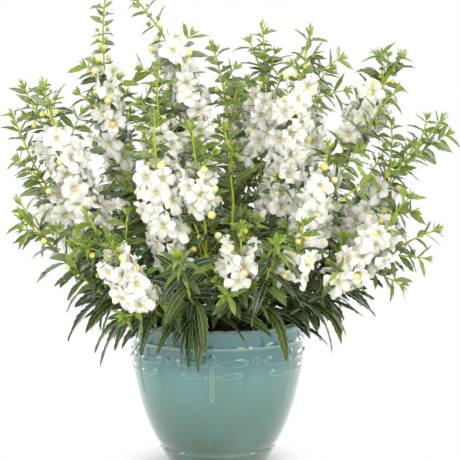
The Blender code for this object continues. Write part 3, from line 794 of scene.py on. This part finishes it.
# ---------------- plant: curves
class Branch:
    """Quadratic curve of a shoot or a side shoot, with its thickness and its age."""

    def __init__(self, foot, control, tip, radii, age=(0.0, 1.0)):
        self.foot, self.control, self.tip = foot, control, tip
        self.radii, self.age = radii, age
        spots = [self.point(step / CURVE_STEPS) for step in range(CURVE_STEPS + 1)]
        self.length = sum((after - before).length for before, after in zip(spots, spots[1:]))

    def point(self, share):
        rest = 1 - share
        return rest * rest * self.foot + 2 * rest * share * self.control + share * share * self.tip

    def ahead(self, share):
        """Direction along the stem."""
        slope = (1 - share) * (self.control - self.foot) + share * (self.tip - self.control)
        return slope.normalized()

    def frame(self, share):
        """Two directions square to the stem and to each other."""
        ahead = self.ahead(share)
        lean = Vector((self.tip.x - self.foot.x, self.tip.y - self.foot.y, 0.0))
        side = square_to(lean.cross(UP), ahead)
        return side, ahead.cross(side)

    def out(self, share, turn):
        """Direction away from the stem, at an angle round it."""
        return around(*self.frame(share), turn)

    def radius(self, share):
        return self.radii[0] + share * (self.radii[1] - self.radii[0])

    def age_at(self, share):
        return self.age[0] + share * (self.age[1] - self.age[0])


def main_branch(tip, middle):
    flat = BASE_SPREAD * middle.xy
    foot = Vector((*flat, soil_height(flat.length) - STEM_SINK))
    return Branch(foot, 2 * middle - (foot + tip) / 2, tip, STEM_RADIUS)


def side_branch(parent, share, tip):
    foot = parent.point(share)
    reach = tip - foot
    control = foot + 0.5 * reach.length * (0.6 * parent.ahead(share) + 0.4 * reach.normalized())
    return Branch(foot, control, tip, TWIG_RADIUS, (max(TWIG_AGE, parent.age_at(share)), 1.0))


def even_shares(branch, start, stop, step_low, step_high=None):
    """Shares of a branch's length between two others, at steps that may shrink upwards."""
    step_high = step_high or step_low
    shares = []
    share = start + 0.5 * step_low / branch.length
    while share < stop:
        shares.append(share)
        done = (share - start) / max(1e-6, stop - start)
        share += (step_low + done * (step_high - step_low)) / branch.length
    return shares


# ---------------- plant: tubes and buds
def tube(data, path, radii, sides, marks, lump=0.0):
    """Closed tube along points, its ends drawn to a point; marks are one for each point."""
    points, values = [], []
    ways = [(after - before).normalized() for before, after in
            zip([path[0], *path[:-1]], [*path[1:], path[-1]])]
    side = ways[0].orthogonal().normalized()
    for row, (spot, way, mark) in enumerate(zip(path, ways, marks)):
        side = square_to(side, way)
        front = way.cross(side)
        for step in range(sides):
            turn = 2 * math.pi * step / sides
            radius = radii[row] * (1 + lump * math.sin(3 * turn + 2.2 * row))
            points.append(spot + radius * around(side, front, turn))
            values.append(mark)
    points += [path[0] - ways[0] * radii[0] * 0.5, path[-1] + ways[-1] * radii[-1] * 0.7]
    values += [marks[0], marks[-1]]
    data.add(points, sleeve_faces(len(path), sides), values)


def stem_tube(data, branch, rng):
    """Stem with slight waves and small swellings."""
    steps = max(6, round(branch.length / STEM_ROW))
    seed = rng.random()
    phase = rng.uniform(0, 6)
    path, radii, marks = [], [], []
    for step in range(steps + 1):
        share = step / steps
        side, front = branch.frame(share)
        sway = STEM_SWAY * math.sin(phase + 26 * share) * min(1.0, 8 * share)
        path.append(branch.point(share) + sway * side + 0.7 * sway * front)
        radii.append(branch.radius(share) * (1.0 + 0.10 * math.sin(5.1 * step)))
        marks.append((branch.age_at(share), 0.0, seed, 0.0))
    tube(data, path, radii, STEM_SIDES, marks)


def bud(data, centre, axis, width, ripe, seed):
    """Egg-shaped bud along an axis, green at its foot; a large one shows its folded petals."""
    sides, rows, lump = (10, 6, 0.15) if width > LARGE_BUD else (6, 4, 0.0)
    shares = [(row + 0.5) / rows for row in range(rows)]
    length = width * BUD_LENGTH
    path = [centre + axis * length * (share - 0.5) * 0.94 for share in shares]
    radii = [width / 2 * math.sin(math.pi * share) ** 0.7 for share in shares]
    tube(data, path, radii, sides, [(1.0, ripe, seed, share) for share in shares], lump)


def stalk(data, branch, share, end, seed, radius):
    """Thin stalk that leaves the stem level and turns up into its flower or bud."""
    start = branch.point(share)
    middle = (start + end) / 2 + UP * -0.12 * (end - start).length
    path = [start, (start + middle) / 2, middle, (middle + end) / 2 + UP * 0.0002, end]
    radii = [radius * 1.2, radius, radius, radius, radius * 1.3]
    tube(data, path, radii, 4, [(branch.age_at(share), 0.0, seed, 0.0)] * len(path))


def sepals(data, heart, face, up, size, seed):
    """Five narrow green sepals behind a flower."""
    side = up.cross(face).normalized()
    points, faces = [heart - face * size * 0.42], []
    for number in range(SEPALS):
        turn = 2 * math.pi * (number + 0.5) / SEPALS
        across = around(side, up, turn)
        beside = around(side, up, turn + 1.57)
        root = heart - face * size * 0.40 + across * size * 0.08
        end = heart - face * size * 0.10 + across * size * 0.27
        index = len(points)
        points += [root - beside * size * 0.06, root + beside * size * 0.06, end]
        faces += [(0, index, index + 1), (index, index + 2, index + 1), (0, index + 2, index),
                  (0, index + 1, index + 2)]
    data.add(points, [np.array(faces)], [(0.9, 0.0, seed, 0.0)] * len(points))


# ---------------- plant: leaves
# Stations: places along a leaf, and how far its edge stands out there.
TINY_STATIONS = ((0.0, 1.0), (0.30, 1.0), (0.65, 1.0), (1.0, 1.0))
SMOOTH_STATIONS = ((0.0, 1.0), (0.12, 1.0), (0.28, 1.0), (0.44, 1.03), (0.60, 0.97), (0.76, 1.02),
                   (0.89, 0.94), (1.0, 1.0))
# Each ring of points round a leaf: place across it, and 1 on its under side or 0 on top.
FULL_RING = ((0.0, 0.5), (0.5, 1.0), (1.0, 0.5), (0.75, 0.0), (0.5, 0.0), (0.25, 0.0))
PLAIN_RING = ((0.0, 0.5), (0.5, 1.0), (1.0, 0.5), (0.5, 0.0))


def tooth_stations(teeth, first=0.16):
    """Stations at the tips and notches of a leaf's teeth."""
    stations = [(0.0, 1.0), (0.07, 1.0)]
    for number in range(teeth):
        tip = first + (0.90 - first) * number / teeth
        stations += [(tip, 1.08), (tip + 0.025, 0.86)]
    return [*stations, (0.93, 1.0), (1.0, 1.0)]


def leaf_faces(rows, sides):
    """Faces of a leaf: a sleeve round it, closed by flat ends."""
    last = (rows - 1) * sides
    ends = [(3, 2, 1, 0), (last, last + 1, last + 2, last + 3)]
    if sides > 4:
        ends += [(5, 4, 3, 0), (last, last + 3, last + 4, last + 5)]
    return [ring_faces(rows, sides), np.array(ends)]


class LeafKind:
    """Outline, ring and faces shared by all leaves of one kind; a low outline power is blunter."""

    def __init__(self, stations, ring, outline=0.80):
        self.shares, teeth = np.array(stations).T
        self.full = np.sin(math.pi * self.shares ** 0.86) ** outline * teeth
        self.ring = ring
        self.across, under = np.array(ring).T
        self.under = np.tile(under, len(stations))
        self.faces = leaf_faces(len(stations), len(ring))


LONG_LEAF = LeafKind(tooth_stations(7), FULL_RING, outline=0.58)
MIDDLE_LEAF = LeafKind(tooth_stations(4, 0.20), PLAIN_RING)
SHORT_LEAF = LeafKind(SMOOTH_STATIONS, PLAIN_RING, outline=0.90)
TINY_LEAF = LeafKind(TINY_STATIONS, PLAIN_RING)


def keep_off_pot(point):
    """Move a point that lies in the pot's wall or soil to just outside it."""
    radius = math.hypot(point.x, point.y)
    if point.z > RIM_TOP + LIP_GAP or radius > LEAF_REACH:
        return point
    wall = np.interp(min(point.z, RIM_TOP), WALL_HEIGHTS, WALL_RADII) + WALL_GAP
    if radius > wall:
        return point
    if radius <= INSIDE_RADIUS:
        return Vector((point.x, point.y, max(point.z, soil_height(radius) + SOIL_GAP)))
    if point.z > RIM_TOP - LIP_DEPTH:
        return Vector((point.x, point.y, RIM_TOP + LIP_GAP))
    grow = wall / radius
    return Vector((point.x * grow, point.y * grow, point.z))


def leaf_path(base, heading, over, length, bend, shares):
    """Points, directions and upper sides along a leaf that arches down under its weight."""
    rows = [(base, heading, over)]
    for before, share in zip(shares, shares[1:]):
        last, way, over = rows[-1]
        step = share - before
        way = way - UP * bend * step
        spot = keep_off_pot(last + way.normalized() * length * step)
        way = (spot - last).normalized()
        rows.append((spot, way, square_to(over, way)))
    return [np.array(column) for column in zip(*rows)]


def leaf_end(heading, bend, shares):
    """Where the tip of a leaf of length one comes to lie, seen from its foot."""
    way, end = heading, Vector()
    for before, share in zip(shares, shares[1:]):
        way = (way - UP * bend * (share - before)).normalized()
        end += way * (share - before)
    return end


def bend_for(heading, span, shares):
    """Bend that makes a leaf drop, over its reach, as steeply as a span does."""
    wanted = span.z / span.xy.length
    low, high = 0.0, 14.0
    for _ in range(24):
        bend = (low + high) / 2
        end = leaf_end(heading, bend, shares)
        if end.z / max(1e-6, end.xy.length) > wanted:
            low = bend
        else:
            high = bend
    return bend


def leaf(data, kind, base, heading, over, length, width, bend, young, rng):
    """Toothed leaf, folded a little along its rib; its upper side turns to where over points."""
    share = kind.shares
    centre, way, upper = leaf_path(base, heading, square_to(over, heading), length, bend, share)
    twist = (rng.uniform(-0.6, 0.6) * share)[:, None]
    side = np.cross(upper, way)
    side, upper = (side * np.cos(twist) + upper * np.sin(twist),
                   upper * np.cos(twist) - side * np.sin(twist))
    half = np.maximum(width / 2 * kind.full, 0.0003 + 0.0006 * (1 - share))
    fold = rng.uniform(0.10, 0.50)
    wave = 0.05 * width * np.sin(share * 14 + rng.uniform(0, 6))
    rings = []
    for across, under in kind.ring:
        off_rib = 2 * across - 1
        up = abs(off_rib) * half * math.sin(fold) + off_rib * wave
        if under == 1.0:
            up = up - 0.0003 - 0.05 * half
        elif under == 0.0 and off_rib:
            up = up + 0.10 * half + 0.0001
        rings.append(centre + side * (off_rib * half * math.cos(fold))[:, None] + upper * up[:, None])
    marks = np.empty((len(share), len(kind.ring), 4))
    marks[:, :, 0] = share[:, None]
    marks[:, :, 1] = kind.across
    marks[:, :, 2] = rng.random()
    marks[:, :, 3] = young
    data.add(np.stack(rings, axis=1).reshape(-1, 3), kind.faces, marks.reshape(-1, 4), kind.under)


# ---------------- plant: flowers
LOBE_EDGES = tuple(math.radians(degrees) for degrees in (30, 90, 150, 230, 310, 390))
LOBE_LENGTHS = (0.0128, 0.0128, 0.0144, 0.0150, 0.0144)
LOBE_TILTS = ((0.0005, 0.0040), (0.0005, 0.0040), (-0.0035, 0.0015), (-0.0055, -0.0010),
              (-0.0035, 0.0015))
NOTCH = 0.0102                  # distance from the middle to where two lobes part
LOBE_STEPS = 7
THROAT = 0.0038                 # radius of the throat
# Front rings from the throat out, then back rings inwards: kind, size or share, forward or
# drop, and the distance mark that the material reads.
FLOWER_RINGS = (
    ("throat", 0.0014, -0.0024, 0.10), ("throat", 0.0026, -0.0010, 0.22),
    ("throat", THROAT, 0.0008, 0.36), ("lobe", 0.36, 0.0, 0.56), ("lobe", 0.72, 0.0, 0.80),
    ("lobe", 1.0, 0.0, 1.0), ("lobe", 0.55, 0.0005, 0.70), ("throat", 0.0032, -0.0034, 0.46),
)
FLOWER_ENDS = np.array([(0.0, 0.0, -0.0028), (0.0, 0.0, -0.0066)])      # front and back middle


def flower_angles():
    """Angle, lobe number and place across the lobe (-1 to 1) of each step round a flower."""
    shares = [step / LOBE_STEPS for step in range(LOBE_STEPS)]
    rows = [(start + (stop - start) * share, lobe, 2 * share - 1)
            for lobe, (start, stop) in enumerate(zip(LOBE_EDGES, LOBE_EDGES[1:])) for share in shares]
    return [np.array(column) for column in zip(*rows)]


ANGLES, LOBES, ACROSS = flower_angles()
AROUND = len(ANGLES)
COSINES, SINES = np.cos(ANGLES), np.sin(ANGLES)
FLOWER_FACES = [block[:, ::-1] for block in sleeve_faces(len(FLOWER_RINGS), AROUND)]


def for_lobes(values):
    """One value for each lobe, spread over the steps round a flower."""
    return np.array(values)[LOBES]


class Petals:
    """Shape of one flower's five lobes: how far out and forward each step of each ring lies."""

    def __init__(self, open_share, rng):
        lengths = for_lobes([length * rng.uniform(0.88, 1.10) for length in LOBE_LENGTHS])
        phases = for_lobes([rng.uniform(0, 6) for _ in LOBE_LENGTHS])
        ripples = for_lobes([rng.uniform(0, 6) for _ in LOBE_LENGTHS])
        rounded = np.clip(1 - np.abs(ACROSS) ** 2.4, 0, 1) ** 0.55
        frill = 1 + 0.05 * np.sin(4.6 * ACROSS + ripples)
        self.outline = (NOTCH + (lengths - NOTCH) * rounded) * frill
        self.tilt = for_lobes([rng.uniform(*tilt) for tilt in LOBE_TILTS])
        self.ruffle = rng.uniform(0.0012, 0.0022) * np.sin(ACROSS * 4.8 + phases)
        self.closing = 1 - open_share

    def lobe(self, share, drop):
        reach = THROAT + (self.outline - THROAT) * share
        arch = 0.0008 + 0.0050 * share * (1 - share)
        crease = 0.0017 * math.sin(math.pi * min(1.0, share * 0.80)) * np.abs(ACROSS) ** 4
        forward = arch + self.tilt * share ** 1.5 + self.ruffle * share ** 1.5 - crease - drop
        return reach * (1 - 0.45 * self.closing), forward + self.closing * reach * 0.9


def flower(data, heart, face, up, size, open_share, rng):
    """Two-lipped flower: two upper and three lower round lobes about a cupped throat."""
    petals = Petals(open_share, rng)
    basis = np.array([up.cross(face).normalized(), up, face]) * size
    seed = rng.random()
    one = np.ones(AROUND)
    low = 0.5 - 0.5 * SINES
    shape, marks = [], []
    for kind, measure, forward, distance in FLOWER_RINGS:
        if kind == "lobe":
            reach, ahead = petals.lobe(measure, forward)
        else:
            reach, ahead = measure, forward + 0.0006 * SINES
        shape.append(np.stack([-reach * COSINES, reach * SINES, ahead], axis=1))
        marks.append(np.stack([distance * one, (ACROSS + 1) / 2, seed * one, low], axis=1))
    marks.append([(0.06, 0.5, seed, 0.5), (0.40, 0.5, seed, 0.5)])
    points = np.concatenate([*shape, FLOWER_ENDS]) @ basis + np.array(heart)
    data.add(points, FLOWER_FACES, np.concatenate(marks))


# ---------------- plant: one shoot
def over_lip(tip):
    """Whether a leaf's tip would cover the front of the lip, which only a few long leaves cross."""
    low, high, near, height = CLEAR_LIP
    return low < tip.x < high and tip.y < near and tip.z < height


def chance_way(rng, reach):
    """Random direction, with its three parts up to a reach."""
    return Vector([rng.uniform(-reach, reach) for _ in range(3)])


class Shoot:
    """All that grows on one main stem, gathered into its three pieces."""

    def __init__(self, number, tip, middle, spike):
        self.number, self.spike = number, spike
        self.branch = main_branch(Vector(tip), Vector(middle))
        self.rng = random.Random(1000 + number)
        self.stem, self.leaves, self.petals = Gather(), Gather(), Gather()
        self.turn = self.rng.uniform(0, math.pi)
        self.flowers = None

    def bloom(self, hearts):
        """Pairs of open flowers round the stretch of the stem that bears them."""
        if not self.spike:
            return
        stretch = FLOWERING.get(self.number, self.spike)
        step = LOOSE_STEP if self.number in SLIM_SHOOTS else BLOOM_STEP
        for number, share in enumerate(even_shares(self.branch, *stretch, step)):
            for half in HALF_TURNS:
                self.open_flower(share, self.turn + number * BLOOM_TURN + half, hearts)

    def open_flower(self, share, turn, hearts):
        """One flower, moved about until it has room, or left out."""
        rng, branch = self.rng, self.branch
        ahead = branch.ahead(share)
        extra = FULL_EXTRA if self.number in FULL_SHOOTS else 0.0
        for trial in range(FLOWER_TRIES):
            out = branch.out(share, turn + rng.uniform(-0.35, 0.35) * (1 + trial))
            reach = rng.uniform(*FLOWER_REACH) + 0.0012 * trial + extra
            heart = branch.point(share) + out * reach + ahead * rng.uniform(-0.001, 0.010)
            if all((heart - other).length > FLOWER_GAP - 0.0006 * trial for other in hearts):
                break
        else:
            return
        hearts.append(heart)
        face = (out + chance_way(rng, 0.40) + 0.10 * ahead).normalized()
        up = square_to((UP + 0.5 * ahead).normalized(), face)
        size = rng.uniform(1.02, 1.20)
        opened = 1.0 if rng.random() < 0.90 else rng.uniform(0.45, 0.8)
        flower(self.petals, heart, face, up, size, opened, rng)
        seed = rng.random()
        sepals(self.stem, heart, face, up, 0.013 * size, seed)
        stalk(self.stem, branch, share, heart - face * 0.0055 * size, seed, FLOWER_STALK)

    def clear(self, spot, gap, cover):
        """Whether a spot is off every open flower and hides none from outside the plant."""
        heart, _, distance = self.flowers.find(spot)
        return distance > gap and (distance >= cover or spot.xy.length <= heart.xy.length + 0.002)

    def pair_leaf(self, kind, branch, share, turn, length, width_share, lift, bend, young, free=False):
        """One leaf, turned aside or shortened where a flower is in its way, unless it is free."""
        rng = self.rng
        ahead = branch.ahead(share)
        for trial in range(LEAF_TRIES):
            out = branch.out(share, turn + rng.uniform(-0.25, 0.25) * (1 + trial))
            heading = (out + lift * ahead).normalized()
            middle = branch.point(share) + heading * length * 0.55 - UP * bend * length * 0.12
            if free or self.clear(middle, LEAF_GAP, 0.0125):
                break
            length *= 0.93
        else:
            return
        base = branch.point(share) + out * branch.radius(share) * 0.7
        if over_lip(base + length * leaf_end(heading, bend, kind.shares)):
            return
        away = Vector((base.x, base.y - 0.01, 0.0)).normalized()
        over = 0.40 * UP + 0.40 * ahead + 0.80 * away + chance_way(rng, 0.6)
        leaf(self.leaves, kind, base, heading, over, length, length * width_share, bend, young, rng)

    def leafy_part(self, start, stop):
        """Pairs of dark leaves, long and narrow low down, with short side shoots in their axils."""
        rng, branch = self.rng, self.branch
        loose = self.number in OPEN_SHOOTS
        step_low = SIDE_STEP if loose or abs(branch.foot.x) > SIDE_FOOT else LEAF_STEP
        step_high = SIDE_STEP if loose else LEAF_STEP
        for number, share in enumerate(even_shares(branch, start, stop, step_low, step_high)):
            turn = self.turn + number * QUARTER_TURN
            low = 1 - min(1.0, share * branch.length / 0.15)
            length = rng.uniform(0.038, 0.050) + 0.032 * low
            kind = LONG_LEAF if low > 0.2 else MIDDLE_LEAF
            # low leaves are older and darker; the low term also darkens them as painted shade deep in the
            # crown
            young = max(0.0, rng.uniform(-0.40, 0.14) + 0.24 * share - 0.15 * low)
            for half in HALF_TURNS:
                self.pair_leaf(kind, branch, share, turn + half, length * rng.uniform(0.62, 1.15),
                               rng.uniform(0.21, 0.26) - 0.06 * low, rng.uniform(0.1, 1.1),
                               rng.uniform(0.3, 1.0) + rng.uniform(0.2, 1.2) * low, young)
            bare = self.number in STAR_SHOOTS or (loose and share > OPEN_FROM)
            if not bare and share * branch.length > 0.040:
                self.axil_shoot(share, turn + QUARTER_TURN * rng.choice((1, -1)))

    def axil_shoot(self, share, turn):
        """Side shoot from a leaf's axil: a tall one with buds here and there, else a leafy tuft."""
        rng = self.rng
        kind = rng.random()
        if kind < 0.30:
            self.side_tuft(share, turn, rng.uniform(0.060, 0.095), rng.uniform(1.0, 1.6), buds=True)
        elif kind < 0.92:
            self.side_tuft(share, turn, rng.uniform(0.020, 0.042))

    def side_tuft(self, share, turn, reach, rise=0.8, buds=False):
        """Side shoot of some length that leaves the main stem, if its tip clears the flowers."""
        parent = self.branch
        way = (0.8 * parent.out(share, turn) + rise * parent.ahead(share) + 0.3 * UP).normalized()
        tip = parent.point(share) + reach * way
        if tip.z < parent.tip.z and self.clear(tip, 0.012, 0.022):
            self.twig(share, tip, buds)

    def twig(self, start, tip, buds=False):
        """Leafy side shoot that ends in a rosette of young leaves."""
        rng = self.rng
        branch = side_branch(self.branch, start, tip)
        stem_tube(self.stem, branch, rng)
        for number, share in enumerate(even_shares(branch, 0.25, 0.97, *TWIG_STEP)):
            length = 0.036 - 0.014 * share + rng.uniform(-0.006, 0.004)
            for half in HALF_TURNS:
                turn = number * QUARTER_TURN + 0.6 + half
                self.pair_leaf(SHORT_LEAF, branch, share, turn, length, rng.uniform(0.28, 0.35),
                               rng.uniform(0.2, 0.9), rng.uniform(0.2, 0.8),
                               rng.uniform(0.0, 0.22) + 0.70 * share ** 3)
                if buds and share > 0.4 and rng.random() < 0.6:
                    self.stalked_bud(branch, share, turn + rng.uniform(-0.5, 0.5), 1.4 * share - 0.5)
        self.rosette(branch, TWIG_ROSETTE)

    def rosette(self, branch, length):
        """Tuft of small upright leaves at a tip."""
        for number in range(ROSETTE_LEAVES):
            self.pair_leaf(TINY_LEAF, branch, min(1.0, 0.955 + 0.007 * number), number * SPIRAL_TURN,
                           length * (1.05 - 0.09 * number), 0.40, 1.1 + 0.40 * number, 0.10,
                           0.85 + 0.15 * self.rng.random(), free=True)

    def star(self):
        """Long narrow leaves that spread from a tip, with a small rosette in their middle."""
        rng = self.rng
        for number in range(STAR_LEAVES):
            self.pair_leaf(MIDDLE_LEAF, self.branch, STAR_FROM + 0.013 * number, number * SPIRAL_TURN,
                           rng.uniform(0.030, 0.042) - 0.0014 * number, rng.uniform(0.17, 0.21),
                           rng.uniform(0.0, 0.5) + 0.04 * number, rng.uniform(0.5, 1.3),
                           rng.uniform(0.05, 0.20) + 0.035 * number)
        self.rosette(self.branch, STAR_ROSETTE)

    def flower_bracts(self, start, stop):
        """Leaf pairs, leafy tufts and ripe buds that stand between the open flowers."""
        rng = self.rng
        for number, share in enumerate(even_shares(self.branch, start, stop, BRACT_STEP)):
            turn = self.turn + 0.8 + number * QUARTER_TURN
            for half in HALF_TURNS:
                self.pair_leaf(MIDDLE_LEAF, self.branch, share, turn + half,
                               rng.uniform(0.028, 0.038), rng.uniform(0.22, 0.28),
                               rng.uniform(0.2, 0.9), rng.uniform(0.3, 0.8), rng.uniform(0.0, 0.35))
            if rng.random() < 0.18:
                self.side_tuft(share, turn + rng.uniform(0, 6), rng.uniform(0.028, 0.050))
            if rng.random() < 0.90:
                self.stalked_bud(self.branch, share, turn + rng.uniform(0, 6), 0.0, BRACT_BUD_REACH)

    def raceme(self, start):
        """Upper stem: paired bracts, and buds on stalks in their axils that shrink upwards."""
        rng, branch = self.rng, self.branch
        slim = self.number in SLIM_SHOOTS
        buds = self.spike or branch.length > BUDDING_LENGTH
        for number, share in enumerate(even_shares(branch, start, 0.975, *RACEME_STEP)):
            done = (share - start) / (1 - start)
            turn = self.turn + number * QUARTER_TURN
            length = 0.027 - 0.011 * done if slim else 0.034 - 0.018 * done
            for half in HALF_TURNS:
                axil = share + rng.uniform(-0.0025, 0.0025) / branch.length
                self.pair_leaf(SHORT_LEAF, branch, axil, turn + half, length * rng.uniform(0.65, 1.15),
                               rng.uniform(0.30, 0.38), rng.uniform(0.0, 0.9) + 0.6 * done ** 3,
                               rng.uniform(0.2, 0.9), rng.uniform(0.0, 0.38) + 0.50 * done ** 2)
                if buds and rng.random() < 0.94:
                    self.stalked_bud(branch, axil, turn + half + rng.uniform(-0.5, 0.5), done)
            if done < 0.35 and rng.random() < 0.50 and not slim:
                self.side_tuft(share, turn + rng.uniform(0, 6), rng.uniform(0.020, 0.036))
        self.rosette(branch, SPIKE_ROSETTE)

    def stalked_bud(self, branch, share, turn, done, reach=BUD_REACH):
        """Bud in a leaf's axil: large and pale beside the open flowers, small and green at the tip."""
        rng = self.rng
        reach *= (1 - 0.68 * done) * rng.uniform(0.8, 1.15)
        way = (branch.out(share, turn) + 0.75 * branch.ahead(share)).normalized()
        centre = branch.point(share) + way * (reach + branch.radius(share))
        ripe = max(0.12, 0.92 - 1.50 * done + rng.uniform(-0.12, 0.12))
        width = 0.0026 + 0.0070 * max(0.0, 1 - 1.50 * done) * rng.uniform(0.70, 1.0)
        seed = rng.random()
        stalk(self.stem, branch, share, centre, seed, BUD_STALK)
        bud(self.stem, centre, way, width, ripe, seed)

    def skirt(self):
        """Longest and oldest leaves, which hang outwards over the pot's lip."""
        rng = self.rng
        for _ in range(1 if abs(self.branch.foot.x) > SIDE_FOOT else SKIRT_LEAVES):
            base = self.branch.point(rng.uniform(0.030, 0.075) / self.branch.length)
            away = Vector((base.x, base.y, 0.0))
            if away.length < SKIRT_FROM:
                continue
            away.rotate(Quaternion(UP, rng.uniform(-0.9, 0.9)))
            heading = (away.normalized() + rng.uniform(0.1, 0.6) * UP).normalized()
            length = rng.uniform(0.060, 0.086)
            bend = rng.uniform(1.5, 3.4)
            if not over_lip(base + length * leaf_end(heading, bend, LONG_LEAF.shares)):
                self.long_leaf(base, heading, length, bend)

    def long_leaf(self, base, heading, length, bend):
        """One old leaf, narrow and dark."""
        rng = self.rng
        over = UP + chance_way(rng, 0.6)
        leaf(self.leaves, LONG_LEAF, base, heading, over, length, length * rng.uniform(0.145, 0.185),
             bend, rng.uniform(0.0, 0.22), rng)

    def hanging_leaf(self, base, tip):
        """Long leaf that arches out from its foot on the stem and ends at a tip."""
        span = tip - base
        flat = Vector((span.x, span.y, 0.0)).normalized()
        heading = (flat + self.rng.uniform(0.1, 0.5) * UP).normalized()
        bend = bend_for(heading, span, LONG_LEAF.shares)
        end = leaf_end(heading, bend, LONG_LEAF.shares)
        self.long_leaf(base, heading, span.length / end.length, bend)

    def dress(self, flowers):
        """Stem, leaves, bracts and buds, which keep off the open flowers of every shoot."""
        self.flowers = flowers
        stem_tube(self.stem, self.branch, self.rng)
        self.skirt()
        first = FIRST_LEAVES / self.branch.length
        if self.number in STAR_SHOOTS:
            self.leafy_part(first, 0.80)
            self.star()
            return
        start, stop = self.spike or LEAFY_SPIKE
        self.leafy_part(first, start)
        self.flower_bracts(start, stop)
        self.raceme(stop)

    def build(self, stem_finish, leaf_finish, petal_finish):
        mark = f"{self.number:02d}"
        stem = self.stem.build(f"stem_{mark}", stem_finish)
        leaves = self.leaves.build(f"leaves_{mark}", leaf_finish, sharp_degrees=50)
        place(stem, "foliage", f"leafy_stem_{mark}")
        place(leaves, "foliage", f"leafy_stem_{mark}")
        if self.spike:
            petals = self.petals.build(f"flowers_{mark}", petal_finish, sharp_degrees=70)
            place(petals, "bloom", f"flower_spike_{mark}")


# ---------------- the whole plant
def hang_leaves(shoots):
    """Each hanging leaf grows from the place low on a stem that suits its tip best."""
    for tip in map(Vector, HANGING_TIPS):
        choices = []
        for shoot, height in product(shoots, HANGING_FEET):
            base = shoot.branch.point(height / shoot.branch.length)
            misfit = abs((tip - base).length - HANGING_LENGTH)
            turned = (tip.xy - base.xy).angle(tip.xy)
            choices.append((misfit + TURN_COST * turned, shoot.number, base))
        _, number, base = min(choices, key=lambda choice: choice[:2])
        shoots[number - 1].hanging_leaf(base, tip)


def make_plant():
    shoots = [Shoot(number, *row) for number, row in enumerate(SHOOTS, start=1)]
    hearts = []
    for shoot in shoots:
        shoot.bloom(hearts)
    flowers = kdtree.KDTree(len(hearts))
    for number, heart in enumerate(hearts):
        flowers.insert(heart, number)
    flowers.balance()
    for shoot in shoots:
        shoot.dress(flowers)
    for number, share, tip in TWIGS:
        shoots[number - 1].twig(share, Vector(tip))
    hang_leaves(shoots)
    finishes = (stem_material(), leaf_material(), petal_material())
    for shoot in shoots:
        shoot.build(*finishes)


# ---------------- making the stage
def floor_material():
    """Pale matt floor that fades, for the camera and for reflections, into the white backdrop."""
    n = Nodes(bpy.data.materials.new("pale_floor"))
    n.set(Specular_IOR_Level=0.0)
    distance = n.new("ShaderNodeVectorMath", {0: n.where()}, operation="LENGTH").outputs["Value"]
    far = n.span(distance, *FLOOR_FADE)
    n.blend(n.times(far, n.seen()), n.new("ShaderNodeEmission"), "Material Output")
    return n.finish((0.93, 0.93, 0.93), 0.9)


def make_stage():
    bpy.ops.mesh.primitive_plane_add(size=12.0, location=(0, 0, 0))
    floor = bpy.context.object
    floor.name = "floor"
    floor.data.materials.append(floor_material())


def stand(name, data, spot, aim):
    """New lamp or camera at a spot, turned towards another."""
    made = bpy.data.objects.new(name, data)
    made.location = spot
    made.rotation_mode = "QUATERNION"
    made.rotation_quaternion = (Vector(aim) - Vector(spot)).to_track_quat("-Z", "Y")
    bpy.context.scene.collection.objects.link(made)
    return made


def make_light():
    """Area lamps, and a soft warm world that the camera and reflections see as plain white."""
    world = bpy.data.worlds.new("studio")
    bpy.context.scene.world = world
    n = Nodes(world, "Background")
    n.set(Color=(1.0, 0.99, 0.95), Strength=0.82)
    white = n.new("ShaderNodeBackground", {"Color": (1.0, 1.0, 1.0)})
    n.blend(n.seen(), white, "World Output")
    for name, spot, size, power, mirrored in LIGHTS:
        light = bpy.data.lights.new(name, "AREA")
        light.shape = "RECTANGLE"
        light.size, light.size_y = size
        light.energy = power
        stand(name, light, spot, LIGHT_AIM).visible_glossy = mirrored


def make_camera():
    camera = bpy.data.cameras.new("camera")
    camera.sensor_width = 36.0
    camera.lens = LENS
    bpy.context.scene.camera = stand("camera", camera, CAMERA_EYE, CAMERA_AIM)


def main():
    make_camera()
    make_light()
    make_stage()
    make_pot(glaze_material())
    make_soil(soil_material())
    make_chips(chip_material())
    make_plant()
    bpy.context.scene.view_settings.view_transform = "Standard"


main()
